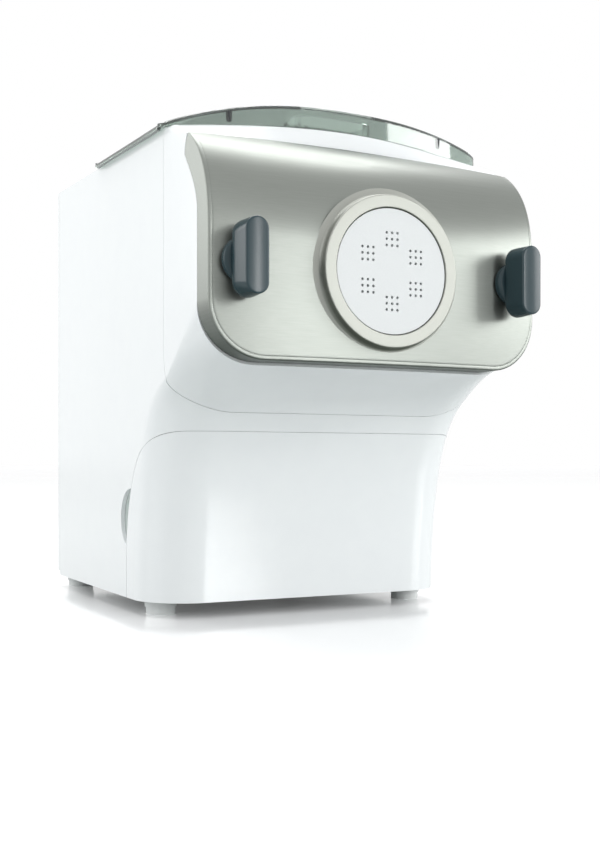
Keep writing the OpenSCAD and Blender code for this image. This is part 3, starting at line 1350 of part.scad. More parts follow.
place() base_plate();
place() main_shell();
place() front_bezel();
place() rear_cover();
place() rear_hood();
place() chamber_surround();
place() front_bulkhead();
place() clamp_studs();
place() rear_frame();
place() mixing_chamber();
place() chamber_seal();
place() extrusion_tube();
place() shaping_disc();
place() gearbox_housing();
place() gearbox_cover();
place() bearing_bushes();
place() idler_pin();
place() motor_case();
place() motor_end_cap();
place() gearbox_screws();
place() housing_screws();
place() control_panel();
place() display_window();
place() control_board();
place() button_switches();
place() power_board();
place() lid_switch();
place() hinge_brackets();
place() hinge_pins();
place() drawer_runners();
place() grip_pockets();
place() cover_posts();
place() rubber_feet();
place() cord_gland();
place() motor_rotor();
place() motor_pinion();
place() cooling_fan();
place() idler_gear();
place() output_gear();
place() drive_shaft();
place() mixing_paddle();
place() extrusion_screw();
place() lid();
place() pour_tray();
place() lid_knuckles();
place() switch_plunger();
place() front_panel();
place() backing_plate();
place() mouth_ring();
place() plate_screws();
place() knob_grip(-1);  // left_knob_grip
place() knob_sleeve(-1);  // left_knob_sleeve
place() knob_grip(1);  // right_knob_grip
place() knob_sleeve(1);  // right_knob_sleeve
place() drawer_front();
place() drawer_tray();
place() control_button(0);  // power_button
place() control_button(1);  // program_button
place() control_button(2);  // start_button
place() control_button(3);  // extrude_button
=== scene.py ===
"""Finishes and fine shapes of an electric pasta maker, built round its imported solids.

Sizes are in millimetres until a mesh is made. Inside the shape functions y is measured
from the face of the front plate and grows to the rear, x grows to the right as seen from
the front, and z is the height over the counter.
"""
import logging
import math
from dataclasses import dataclass, field
from enum import Enum
from typing import Iterable, Sequence

import bmesh
import bpy
import numpy as np
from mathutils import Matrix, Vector


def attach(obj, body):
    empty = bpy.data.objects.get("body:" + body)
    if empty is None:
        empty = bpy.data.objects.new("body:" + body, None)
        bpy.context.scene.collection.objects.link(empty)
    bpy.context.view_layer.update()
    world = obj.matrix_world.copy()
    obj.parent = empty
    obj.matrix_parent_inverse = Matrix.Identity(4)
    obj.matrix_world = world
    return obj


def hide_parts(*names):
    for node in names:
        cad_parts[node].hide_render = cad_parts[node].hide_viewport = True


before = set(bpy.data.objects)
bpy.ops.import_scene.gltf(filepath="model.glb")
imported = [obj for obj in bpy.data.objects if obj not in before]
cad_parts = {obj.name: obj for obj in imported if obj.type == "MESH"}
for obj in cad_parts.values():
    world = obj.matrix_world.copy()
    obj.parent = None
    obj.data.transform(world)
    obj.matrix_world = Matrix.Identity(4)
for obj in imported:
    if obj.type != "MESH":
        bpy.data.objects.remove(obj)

LOG = logging.getLogger("pasta_maker")
MM = 0.001
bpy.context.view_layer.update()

Point = tuple[float, float, float]
Pair = tuple[float, float]
Grid = list[list[Point]]

# Points closer than these, in metres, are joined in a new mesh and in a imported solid.
SAME_POINT = 0.002 * MM
WELD = 0.001 * MM
# Edges sharper than this angle are rounded, in this many steps.
BEVEL_ANGLE = math.radians(38)
BEVEL_STEPS = 3
# Sockets of a node that mixes two colours.
SHARE, FIRST, SECOND = 0, 6, 7
# Upward part of a normal where the painted shade of downward faces starts, and where it is full.
UNDER_SHADE_FROM, UNDER_SHADE_TO = -0.15, -0.85
# Density of a brushed streak along the brushing, as a share of that across it.
BRUSH_STRETCH = 0.012
# Spacing of the waves in Blender's wave texture at a scale of 1, in metres.
WAVE_PERIOD = math.tau / 20


# ---------------------------------------------------------------- small helpers


def mix(a: float, b: float, t: float) -> float:
    """Value between a and b at share t."""
    return a + (b - a) * t


def spread(a: float, b: float, count: int) -> list[float]:
    """Evenly spaced values from a to b, both included."""
    return [mix(a, b, i / (count - 1)) for i in range(count)]


def ease(t: float, lead: float) -> float:
    """Share that leaves 0 level and reaches 1 with t, the sooner the larger the lead is."""
    return t * t * (1 + lead - lead * t)


def linear(hex_colour: str) -> tuple[float, float, float, float]:
    """Turns an sRGB hex colour into linear red, green, blue and alpha.

    Args:
        hex_colour: colour such as "c8c4bb".

    Returns:
        Linear components with an alpha of 1.
    """
    channels = []
    for k in (0, 2, 4):
        value = int(hex_colour[k:k + 2], 16) / 255
        low = value <= 0.04045
        channels.append(value / 12.92 if low else ((value + 0.055) / 1.055) ** 2.4)
    return (*channels, 1.0)


def add_node(tree: bpy.types.NodeTree, kind: str, settings: dict | None = None,
             inputs: dict | None = None) -> bpy.types.Node:
    """Adds one node, with its settings and its input values or links.

    Args:
        tree: node tree that gets the node.
        kind: Blender's type name without "ShaderNode".
        settings: attributes of the node.
        inputs: value or output socket for each named or numbered input.

    Returns:
        The new node.
    """
    node = tree.nodes.new("ShaderNode" + kind)
    for name, value in (settings or {}).items():
        setattr(node, name, value)
    for name, value in (inputs or {}).items():
        if isinstance(value, bpy.types.NodeSocket):
            tree.links.new(value, node.inputs[name])
        else:
            node.inputs[name].default_value = value
    return node


class Axis(Enum):
    """Directions that a revolved piece can point in."""

    FRONT = "front"
    UP = "up"
    RIGHT = "right"

    def place(self, along: float, u: float, v: float) -> Vector:
        """Point at a distance along the axis and across it.

        Args:
            along: distance along the axis.
            u: distance along x, or along y where the axis points right.
            v: distance along z, or along y where the axis points up.

        Returns:
            The point, measured from where the axis starts.
        """
        if self is Axis.FRONT:
            return Vector((u, -along, v))
        if self is Axis.RIGHT:
            return Vector((along, u, v))
        return Vector((u, v, along))


class Side(Enum):
    """Left and right as seen from the front, with the sign of x there."""

    LEFT = -1
    RIGHT = 1

    @property
    def word(self) -> str:
        """Word for the side in the names of pieces and bodies."""
        return self.name.lower()


class Solver(Enum):
    """Blender's ways to cut one solid by another."""

    FAST = "FAST"
    EXACT = "EXACT"


# ---------------------------------------------------------------- finishes


class Grain(Enum):
    """How a surface was made, which decides the pattern that it shows."""

    MOULDED = "moulded"
    BRUSHED = "brushed"
    TURNED = "turned"
    SINTERED = "sintered"
    LAMINATE = "laminate"
    WOUND = "wound"


@dataclass(frozen=True)
class Finish:
    """One real material with its surface treatment, built as a node material.

    Colour and shade are the two ends of the slight variation that the surface shows, and
    pitch and relief are the drawn size and depth of its pattern in millimetres. Under, where
    it is given, is painted shade: the darker colour of faces that look down, standing in for
    the shade and dark reflections that fall on them.
    """

    name: str
    colour: str
    shade: str
    roughness: float
    spread: float = 0.04
    metallic: float = 0.0
    ior: float = 1.5
    grain: Grain = Grain.MOULDED
    pitch: float = 0.8
    relief: float = 0.006
    transmission: float = 0.0
    coat: float = 0.0
    anisotropy: float = 0.0
    specular: float = 0.5
    # darker colour of faces that look down: painted shade and dark reflection
    under: str = ""

    def pattern(self, tree: bpy.types.NodeTree) -> bpy.types.NodeSocket:
        """Adds the texture of this grain, scaled from its pitch.

        Args:
            tree: node tree of the material.

        Returns:
            The socket that carries the pattern, from 0 to 1.
        """
        place = add_node(tree, "TexCoord").outputs["Object"]
        rate = 1000 / self.pitch
        if self.grain is Grain.BRUSHED:
            place = add_node(tree, "Mapping", None,
                             {"Vector": place, "Scale": (BRUSH_STRETCH, 1, 1)}).outputs[0]
        dots = {"Vector": place, "Scale": rate}
        waves = {"Vector": place, "Scale": rate * WAVE_PERIOD}
        if self.grain is Grain.WOUND:
            return add_node(tree, "TexWave", {"bands_direction": "Y", "wave_profile": "SIN"},
                            {**waves, "Distortion": 0.6}).outputs[1]
        if self.grain is Grain.TURNED:
            return add_node(tree, "TexWave", {"wave_type": "RINGS", "rings_direction": "Y"},
                            {**waves, "Distortion": 1.5, "Detail": 3.0}).outputs[1]
        if self.grain is Grain.LAMINATE:
            return add_node(tree, "TexChecker", None, dots).outputs[1]
        if self.grain is Grain.SINTERED:
            return add_node(tree, "TexVoronoi", None, dots).outputs["Distance"]
        return add_node(tree, "TexNoise", None,
                        {**dots, "Detail": 4.0, "Roughness": 0.55}).outputs[0]

    def build(self) -> bpy.types.Material:
        """Makes the material once and gives the same one after that.

        Returns:
            The Blender material of this finish.
        """
        made = bpy.data.materials.get(self.name)
        if made:
            return made
        material = bpy.data.materials.new(self.name)
        material.use_nodes = True
        tree = material.node_tree
        tree.nodes.clear()
        pattern = self.pattern(tree)
        tint = add_node(tree, "Mix", {"data_type": "RGBA"},
                        {SHARE: pattern, FIRST: linear(self.colour),
                         SECOND: linear(self.shade)}).outputs[2]
        # Faces that look down are blended to the under colour: painted shade, not a colour of the
        # material.
        if self.under:
            normal = add_node(tree, "NewGeometry").outputs["True Normal"]
            up = add_node(tree, "SeparateXYZ", None, {0: normal}).outputs["Z"]
            down = add_node(tree, "MapRange", None, {"Value": up, "From Min": UNDER_SHADE_FROM,
                                                     "From Max": UNDER_SHADE_TO}).outputs[0]
            tint = add_node(tree, "Mix", {"data_type": "RGBA"},
                            {SHARE: down, FIRST: tint, SECOND: linear(self.under)}).outputs[2]
        rough = add_node(tree, "MapRange", None,
                         {"Value": pattern, "To Min": self.roughness,
                          "To Max": self.roughness + self.spread}).outputs[0]
        bump = add_node(tree, "Bump", None, {"Height": pattern, "Distance": self.relief * MM,
                                             "Strength": 1.0}).outputs[0]
        shader = add_node(tree, "BsdfPrincipled", None,
                          {"Base Color": tint, "Roughness": rough, "Normal": bump,
                           "Metallic": self.metallic, "IOR": self.ior,
                           "Transmission Weight": self.transmission, "Coat Weight": self.coat,
                           "Anisotropic": self.anisotropy, "Specular IOR Level": self.specular})
        add_node(tree, "OutputMaterial", None, {"Surface": shader.outputs[0]})
        return material


# Injection-moulded ABS from a polished tool: white, glassy highlights with a faint long ripple.
GLOSS_ABS = Finish("polished_white_abs", "f3f6f6", "eff2f3", 0.13, 0.03, ior=1.53, pitch=14,
                   relief=0.02)
# The same ABS from a spark-eroded tool: white and even, with only a broad soft highlight.
SATIN_ABS = Finish("textured_white_abs", "e9ecec", "e1e5e6", 0.42, 0.08, ior=1.53, pitch=0.6,
                   relief=0.012)
# Aluminium skin, brushed across and anodised clear: neutral grey, its highlights stretched by
# the streaks and its lower edge painted dark as painted shade and dark reflection. Its real
# 0.1 mm scratches are drawn 0.5 mm apart, or they would not show.
PLATE_METAL = Finish("brushed_anodised_aluminium", "8f938e", "868a85", 0.36, 0.06, metallic=1.0,
                     grain=Grain.BRUSHED, pitch=0.5, relief=0.001, anisotropy=0.3,
                     under="4e554d")
# Cast ring, bead blasted before the same anodising: paler than the plate, without direction.
# Its faces that look down are painted darker: painted shade and dark reflection.
RING_METAL = Finish("blasted_anodised_aluminium", "a6a8a2", "9d9f99", 0.42, 0.08, metallic=0.9,
                    pitch=0.5, relief=0.006, under="7d8177")
# Slate-coloured ABS with a fine tool texture: soft highlights that run along the edges.
SLATE_ABS = Finish("slate_textured_abs", "2d4147", "283b40", 0.22, 0.05, ior=1.55, pitch=0.5,
                   relief=0.004, specular=0.34)
# Tinted styrene acrylonitrile: clear, with a grey-green tint where it is seen edge-on.
CLEAR_SAN = Finish("smoke_clear_san", "cbd6d0", "c5d1ca", 0.04, 0.02, ior=1.57, pitch=20,
                   relief=0.004, transmission=0.94)
# Acetal, machined then tumbled: opaque white with a waxy, low gloss.
WHITE_POM = Finish("white_acetal", "dfe2e2", "d8dbdb", 0.34, 0.06, ior=1.48, pitch=0.7,
                   relief=0.005)
# Cold-rolled or ground steel: grey, with turning marks drawn 3.8 mm apart, or they would not show.
STEEL = Finish("turned_steel", "c2c5c7", "a9adb0", 0.26, 0.12, metallic=1.0, grain=Grain.TURNED,
               pitch=3.77, relief=0.006)
# Oil-filled bronze pressed from powder: brown-gold and finely pitted.
BRONZE = Finish("sintered_bronze", "b28b55", "8f6b3d", 0.42, 0.15, metallic=1.0,
                grain=Grain.SINTERED, pitch=0.4, relief=0.02)
# Natural acetal of the large wheels: cream and smooth.
CREAM_POM = Finish("natural_acetal", "ece6cf", "ded6ba", 0.36, 0.08, ior=1.48, pitch=1.2,
                   relief=0.006)
# Glass-filled nylon of the idler wheel: tan, with short fibres that mottle it.
TAN_NYLON = Finish("glass_filled_nylon", "c8bc98", "a99c78", 0.48, 0.12, ior=1.53, pitch=0.9,
                   relief=0.02)
# Plain ABS of hidden frames: pale grey, from a dull tool.
GREY_ABS = Finish("grey_frame_abs", "c7cbcc", "b7bcbe", 0.5, 0.1, ior=1.53, pitch=0.7,
                  relief=0.02)
# Copolyester of the mixing chamber: half-clear pale grey and smooth.
CHAMBER_PLASTIC = Finish("grey_copolyester", "c9d0ce", "bec6c4", 0.12, 0.05, ior=1.57, pitch=8,
                         relief=0.01, transmission=0.35)
# Glass-filled black nylon of the motor's end and fan: near black and dull.
DARK_NYLON = Finish("black_filled_nylon", "34383a", "26292b", 0.52, 0.1, ior=1.53, pitch=0.8,
                    relief=0.02)
# Silicone seal: grey and smooth, with a soft sheen.
SILICONE = Finish("grey_silicone", "9aa2a3", "8d9596", 0.46, 0.08, ior=1.41, pitch=1.5,
                  relief=0.01)
# Printed fascia of the controls, moulded in grey ABS with a satin tool.
FASCIA = Finish("satin_grey_abs", "b9bfc0", "adb4b6", 0.38, 0.08, ior=1.53, pitch=0.6,
                relief=0.01)
# Back-painted acrylic over the display: black and glassy.
DISPLAY = Finish("back_painted_acrylic", "15181a", "101214", 0.06, 0.03, ior=1.49, pitch=10,
                 relief=0.004, coat=0.4)
# Glass-epoxy board under a green solder mask: the weave shows as a fine check of 1 mm.
BOARD = Finish("solder_masked_epoxy", "2f6b45", "295f3d", 0.35, 0.1, ior=1.55,
               grain=Grain.LAMINATE, pitch=1.0, relief=0.01)
# Enamelled copper wire of the rotor, drawn 5.7 mm apart, or it would not show.
COPPER = Finish("enamelled_copper", "b06a3b", "7c4222", 0.3, 0.1, metallic=1.0,
                grain=Grain.WOUND, pitch=5.65, relief=0.12)
# Textured ABS of the finger pockets: pale, tinted green as painted shade, since they lie in half
# shade.
POCKET_ABS = Finish("pale_green_textured_abs", "f0f7f4", "e8efec", 0.45, 0.08, ior=1.53,
                    pitch=0.6, relief=0.015)
# Thermoplastic rubber of the feet: pale grey and dull.
FOOT_RUBBER = Finish("pale_thermoplastic_rubber", "eceeed", "e2e5e4", 0.55, 0.12, ior=1.47,
                     pitch=0.8, relief=0.03)
# Red acetal of the lid's plunger, coloured so that its travel is seen.
RED_POM = Finish("red_acetal", "b8382f", "a33029", 0.35, 0.06, ior=1.48, pitch=0.9,
                 relief=0.006)
# Button caps in grey ABS with a softer texture than the fascia.
BUTTON_ABS = Finish("matt_button_abs", "8b9496", "818a8c", 0.46, 0.08, ior=1.53, pitch=0.5,
                    relief=0.012)
# High-pressure laminate of the counter: white, smooth enough for a soft reflection.
COUNTER = Finish("white_laminate", "bcc0bf", "b8bcbb", 0.1, 0.04, pitch=4.0, relief=0.0)

# The solids that keep their own shape, by finish, each with the rounding of its edges in mm.
CARRIED: dict[Finish, dict[str, float]] = {
    SATIN_ABS: {"base_plate": 0.4, "chamber_surround": 0.4, "hinge_brackets": 0.2,
                "cord_gland": 0.5, "drawer_tray": 0.5},
    GLOSS_ABS: {"rear_cover": 0.8},
    GREY_ABS: {"front_bulkhead": 0.4, "rear_frame": 0.4, "gearbox_housing": 0.4,
               "gearbox_cover": 0.4, "drawer_runners": 0.3, "cover_posts": 0.3},
    STEEL: {"clamp_studs": 0.3, "idler_pin": 0.3, "motor_case": 0.5, "gearbox_screws": 0.2,
            "housing_screws": 0.2, "hinge_pins": 0.2, "motor_pinion": 0.05, "drive_shaft": 0.3,
            "backing_plate": 0.3, "plate_screws": 0.2},
    CHAMBER_PLASTIC: {"mixing_chamber": 0.4},
    SILICONE: {"chamber_seal": 0.3},
    WHITE_POM: {"extrusion_tube": 0.4, "shaping_disc": 0.15, "mixing_paddle": 0.6,
                "extrusion_screw": 0.0},
    BRONZE: {"bearing_bushes": 0.2},
    DARK_NYLON: {"motor_end_cap": 0.5, "button_switches": 0.1, "lid_switch": 0.3,
                 "cooling_fan": 0.2},
    FASCIA: {"control_panel": 0.5},
    DISPLAY: {"display_window": 0.3},
    BOARD: {"control_board": 0.1, "power_board": 0.2},
    POCKET_ABS: {"grip_pockets": 0.5},
    FOOT_RUBBER: {"rubber_feet": 0.6},
    COPPER: {"motor_rotor": 0.4},
    TAN_NYLON: {"idler_gear": 0.05},
    CREAM_POM: {"output_gear": 0.05},
    CLEAR_SAN: {"pour_tray": 0.3, "lid_knuckles": 0.2},
    RED_POM: {"switch_plunger": 0.3},
    BUTTON_ABS: {"power_button": 0.3, "program_button": 0.3, "start_button": 0.3,
                 "extrude_button": 0.3},
}


# ---------------------------------------------------------------- meshes


def add_object(name: str, data: bpy.types.ID) -> bpy.types.Object:
    """Makes an object of its data and links it to the scene.

    Args:
        name: name of the object.
        data: mesh, lamp or camera.

    Returns:
        The new object.
    """
    obj = bpy.data.objects.new(name, data)
    bpy.context.scene.collection.objects.link(obj)
    return obj


def new_object(name: str, verts: Iterable[Sequence[float]],
               faces: list[Sequence[int]]) -> bpy.types.Object:
    """Makes a linked object from points in millimetres and faces, its normals outward.

    Args:
        name: name of the object and its mesh.
        verts: points, y measured from the face of the front plate.
        faces: corner numbers of each face.

    Returns:
        The new object.
    """
    mesh = bpy.data.meshes.new(name)
    mesh.from_pydata([(x * MM, (y + FORM.front_y) * MM, z * MM) for x, y, z in verts], [], faces)
    bm = bmesh.new()
    bm.from_mesh(mesh)
    bmesh.ops.remove_doubles(bm, verts=bm.verts, dist=SAME_POINT)
    bmesh.ops.recalc_face_normals(bm, faces=bm.faces)
    bm.to_mesh(mesh)
    bm.free()
    mesh.polygons.foreach_set("use_smooth", [True] * len(mesh.polygons))
    return add_object(name, mesh)


def shell(name: str, grid: Grid, wall: float, centre: Point,
          closed: bool = False) -> bpy.types.Object:
    """Gives a surface of columns of points a wall thickness, away from its outer side.

    Args:
        name: name of the new object.
        grid: columns of points on the outer side.
        wall: thickness in millimetres.
        centre: a point on the inner side, which tells in from out.
        closed: True where the last column joins the first.

    Returns:
        The closed solid as an object.
    """
    outer = np.array(grid, dtype=float)
    cols, rows = outer.shape[:2]
    if closed:
        across = (np.roll(outer, -1, 0) - np.roll(outer, 1, 0)) / 2
    else:
        across = np.gradient(outer, axis=0)
    normal = np.cross(across, np.gradient(outer, axis=1))
    normal /= np.maximum(np.linalg.norm(normal, axis=2, keepdims=True), 1e-9)
    if np.sum(normal * (outer - np.array(centre))) < 0:
        normal = -normal
    inner = outer - normal * wall
    verts = np.concatenate([outer.reshape(-1, 3), inner.reshape(-1, 3)])
    deep = cols * rows
    faces = []
    for i in range(cols if closed else cols - 1):
        k = (i + 1) % cols
        for j in range(rows - 1):
            quad = [i * rows + j, k * rows + j, k * rows + j + 1, i * rows + j + 1]
            faces += [quad, [v + deep for v in reversed(quad)]]
        for j in (0, rows - 1):
            faces.append([i * rows + j, k * rows + j, k * rows + j + deep, i * rows + j + deep])
    if not closed:
        for i in (0, cols - 1):
            for j in range(rows - 1):
                a = i * rows + j
                faces.append([a, a + 1, a + 1 + deep, a + deep])
    return new_object(name, verts, faces)


def lathe(name: str, profile: Sequence[Pair], centre: Point, axis: Axis = Axis.FRONT,
          steps: int = 128) -> bpy.types.Object:
    """Turns a closed profile of (radius, distance along the axis) about an axis.

    Args:
        name: name of the new object.
        profile: closed outline; a radius of 0 makes a pole.
        centre: where the axis starts.
        axis: direction of the axis.
        steps: facets round the axis.

    Returns:
        The solid as an object.
    """
    verts = []
    for k in range(steps):
        c, s = math.cos(math.tau * k / steps), math.sin(math.tau * k / steps)
        verts += [tuple(Vector(centre) + axis.place(along, r * c, r * s)) for r, along in profile]
    n = len(profile)
    faces = []
    for k in range(steps):
        m = (k + 1) % steps
        for i in range(n):
            j = (i + 1) % n
            if profile[i][0] or profile[j][0]:
                faces.append([k * n + i, m * n + i, m * n + j, k * n + j])
    return new_object(name, verts, faces)


def rod(name: str, radius: float, reach: float, centre: Point, axis: Axis = Axis.FRONT,
        steps: int = 128) -> bpy.types.Object:
    """Makes a cylinder that reaches both ways from its centre.

    Args:
        name: name of the new object.
        radius: its radius.
        reach: half its length.
        centre: its middle.
        axis: direction of its axis.
        steps: facets round the axis.

    Returns:
        The cylinder as an object.
    """
    profile = [(0, -reach), (radius, -reach), (radius, reach), (0, reach)]
    return lathe(name, profile, centre, axis, steps)


def loft(name: str, loops: Sequence[Sequence[Point]]) -> bpy.types.Object:
    """Joins loops of equal length by quads and closes both ends.

    Args:
        name: name of the new object.
        loops: loops of points, in order.

    Returns:
        The solid as an object.
    """
    n = len(loops[0])
    faces = [[i * n + k, i * n + (k + 1) % n, (i + 1) * n + (k + 1) % n, (i + 1) * n + k]
             for i in range(len(loops) - 1) for k in range(n)]
    faces += [list(range(n)), [(len(loops) - 1) * n + k for k in range(n)]]
    return new_object(name, [p for loop in loops for p in loop], faces)


def cut(obj: bpy.types.Object, *cutters: bpy.types.Object,
        solver: Solver = Solver.FAST) -> bpy.types.Object:
    """Takes the cutters out of a solid and removes them.

    Args:
        obj: solid that is cut.
        cutters: solids that are taken away.
        solver: Blender's method; the slower exact one is for curved shells.

    Returns:
        The same object with its new mesh.
    """
    for cutter in cutters:
        step = obj.modifiers.new("cut", "BOOLEAN")
        step.object = cutter
        step.solver = solver.value
    graph = bpy.context.evaluated_depsgraph_get()
    mesh = bpy.data.meshes.new_from_object(obj.evaluated_get(graph))
    obj.modifiers.clear()
    obj.data = mesh
    for cutter in cutters:
        bpy.data.objects.remove(cutter)
    return obj


def soften(obj: bpy.types.Object, radius: float, weld: bool = False) -> None:
    """Rounds an object's edges by modifiers and evens its shading.

    Args:
        obj: object that is rounded.
        radius: width of the rounding in millimetres.
        weld: True where coincident points are joined first.
    """
    if weld:
        obj.modifiers.new("join", "WELD").merge_threshold = WELD
    if radius:
        bevel = obj.modifiers.new("soft_edges", "BEVEL")
        bevel.width = radius * MM
        bevel.segments = BEVEL_STEPS
        bevel.limit_method = "ANGLE"
        bevel.angle_limit = BEVEL_ANGLE
        bevel.use_clamp_overlap = True
    obj.modifiers.new("even_shading", "WEIGHTED_NORMAL").keep_sharp = True


def dress(obj: bpy.types.Object, finish: Finish, body: str, slot: str, *nodes: str,
          radius: float = 0.4) -> bpy.types.Object:
    """Gives a piece its finish and soft edges, puts it on its body and hides the solids it
    replaces.

    Args:
        obj: the piece.
        finish: its material.
        body: body that it moves with.
        slot: material slot of the record; not used.
        nodes: solids that it replaces.
        radius: edge rounding in millimetres.

    Returns:
        The same piece.
    """
    obj.data.materials.clear()
    obj.data.materials.append(finish.build())
    soften(obj, radius)
    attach(obj, body)
    if nodes:
        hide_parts(*nodes)
    LOG.info("%s: %d faces on body %s", obj.name, len(obj.data.polygons), body)
    return obj


# ---------------------------------------------------------------- common form of the body


@dataclass(frozen=True)
class Form:
    """Sizes and curves of the body that its panels share."""

    # whole body
    half_w: float = 106.5
    depth: float = 317.0
    front_y: float = -150.5
    wall: float = 2.6
    seam: float = 0.3
    corner_r: float = 34.0
    floor_gap: float = 9.0
    base_setback: float = 93.0
    cover_y: float = 305.0
    # columns of points over half the flat front, and round a corner
    columns: tuple[int, int] = (15, 19)
    # top edge of the side walls, crowned top, and how far the hood lies under the crown
    wall_top_z: float = 287.0
    rear_top_z: float = 301.0
    crown_z: float = 305.0
    hood_drop: float = 0.5
    # mouth and clamps
    axis_z: float = 201.0
    stud_x: float = 88.0
    # front plate, its rolled top and its side wings
    plate_t: float = 15.4
    plate_bottom_z: float = 149.0
    plate_corner_r: float = 32.0
    plate_top_z: float = 274.5
    plate_crown: float = 6.0
    plate_wall: float = 3.0
    plate_bow: float = 5.0
    sweep_power: float = 2.5
    curve_start_z: float = 215.0
    curve_r: float = 71.0
    swoop_low_z: float = 230.0
    swoop_high_z: float = 264.0
    swoop_y: float = 39.0
    swoop_lead: float = 0.6
    # curve of the neck: its start below the plate's edge, then the share of the run back and
    # the drop below that edge of its two control points
    neck_drop: float = 1.5
    neck_bends: tuple[Pair, Pair] = ((0.655, 9.0), (0.935, 31.0))
    # seam under and behind the bezel
    bezel_d: float = 73.0
    bezel_seam_z: float = 124.0
    bezel_rise: float = 19.5
    bezel_lead: float = 0.9
    bezel_knee: float = 0.36
    bezel_bend_z: float = 166.0
    bezel_corner_r: float = 40.5
    # seam over and behind the drawer's front
    drawer_seam_z: float = 113.0
    drawer_seam_drop: float = 10.7
    drawer_seam_power: float = 2.5
    drawer_corner_r: float = 18.5
    drawer_side_y: float = 142.0
    drawer_arc_low: float = 32.0
    drawer_arc_start: float = math.radians(17)
    # front edge of the lid
    lid_front_y: float = 47.0
    lid_bow: float = 22.0

    @property
    def flat(self) -> float:
        """Half width of the front before its corners turn."""
        return self.half_w - self.corner_r

    @property
    def turn(self) -> float:
        """Half girth of the front to the end of a corner."""
        return self.flat + self.corner_r * math.pi / 2

    @property
    def neck_z(self) -> float:
        """Height where the neck starts to curve back under the plate."""
        return self.plate_bottom_z - self.neck_drop

    @property
    def drawer_arc_z(self) -> float:
        """Upright half axis of the ellipse behind the drawer's side."""
        rise = self.drawer_seam(self.turn) - self.drawer_arc_low
        return rise / math.cos(self.drawer_arc_start)

    @property
    def drawer_arc_y(self) -> float:
        """Level half axis of the ellipse behind the drawer's side."""
        start_y = self.neck_y(self.drawer_seam(self.turn)) + self.corner_r
        return (self.drawer_side_y - start_y) / (1 - math.sin(self.drawer_arc_start))

    def neck_y(self, z: float) -> float:
        """Setback of the front surface at a height, along the curve under the plate.

        Args:
            z: height.

        Returns:
            Distance behind the plate's face.
        """
        if z >= self.neck_z:
            return self.plate_t
        run = self.base_setback - self.plate_t
        pts = ((self.plate_t, self.neck_z),
               *((self.plate_t + share * run, self.plate_bottom_z - drop)
                 for share, drop in self.neck_bends),
               (self.base_setback, self.floor_gap))
        low, high = 0.0, 1.0
        for _ in range(20):
            t = (low + high) / 2
            weights = ((1 - t) ** 3, 3 * t * (1 - t) ** 2, 3 * t * t * (1 - t), t ** 3)
            y, at = (sum(w * p[k] for w, p in zip(weights, pts)) for k in (0, 1))
            low, high = (t, high) if at > z else (low, t)
        return y

    def edge_z(self, y: float) -> float:
        """Height of the side wall's top edge at depth y."""
        rise = self.rear_top_z - self.wall_top_z
        return self.wall_top_z + rise * (y - self.bezel_d) / (self.depth - self.bezel_d)

    def curve_y(self, z: float) -> float:
        """Setback of the plate's rolled top at height z."""
        over = max(0.0, z - self.curve_start_z)
        return self.curve_r - math.sqrt(self.curve_r ** 2 - over * over)

    def sweep(self, x: float) -> float:
        """How far the plate lies behind its middle at x."""
        return self.plate_bow * min(1.0, abs(x) / self.half_w) ** self.sweep_power

    def face_y(self, x: float, z: float) -> float:
        """Setback of the plate's face, whose sweep fades out over the rolled top.

        Args:
            x: distance from the middle plane.
            z: height.

        Returns:
            Distance behind the middle of the plate's face.
        """
        run = self.plate_top_z - self.curve_start_z
        rise = min(1.0, max(0.0, (z - self.curve_start_z) / run))
        return self.curve_y(z) + self.sweep(x) * math.cos(rise * math.pi / 2) ** 2

    def wing_y(self, z: float) -> float:
        """Rear edge of the plate's side wing at height z."""
        t = (z - self.swoop_low_z) / (self.swoop_high_z - self.swoop_low_z)
        return mix(self.plate_t + self.plate_bow, self.swoop_y,
                   ease(min(1.0, max(0.0, t)), self.swoop_lead))

    def body_point(self, u: float, z: float) -> Point:
        """Point on the front surface, which turns round the corners.

        Args:
            u: girth from the middle, less than 0 on the left.
            z: height.

        Returns:
            The point.
        """
        side, u = math.copysign(1, u), abs(u)
        y = self.neck_y(z)
        if u <= self.flat:
            return side * u, y, z
        a = min(u - self.flat, self.turn - self.flat) / self.corner_r
        x = side * (self.flat + self.corner_r * math.sin(a))
        return x, y + self.corner_r * (1 - math.cos(a)), z

    def corner_share(self, u: float, radius: float) -> float:
        """Share of a corner of that radius that lies behind girth u."""
        start = self.half_w - radius
        return max(0.0, (abs(u) - start) / (self.turn - start))

    def drawer_seam(self, u: float) -> float:
        """Height of the seam over the drawer at girth u."""
        share = self.corner_share(u, self.drawer_corner_r)
        return self.drawer_seam_z - self.drawer_seam_drop * share ** self.drawer_seam_power

    def bezel_seam(self, u: float) -> float:
        """Height of the seam under the bezel at girth u."""
        share = self.corner_share(u, self.bezel_corner_r)
        return self.bezel_seam_z + self.bezel_rise * ease(share, self.bezel_lead)

    def drawer_bend(self, t: float, gap: float) -> Pair:
        """Point (y, z) at share t of the seam behind the drawer's side, a gap outside it."""
        a = mix(self.drawer_arc_start, math.pi / 2, t)
        return (self.drawer_side_y - self.drawer_arc_y + (self.drawer_arc_y + gap) * math.sin(a),
                self.drawer_arc_low + (self.drawer_arc_z + gap) * math.cos(a))

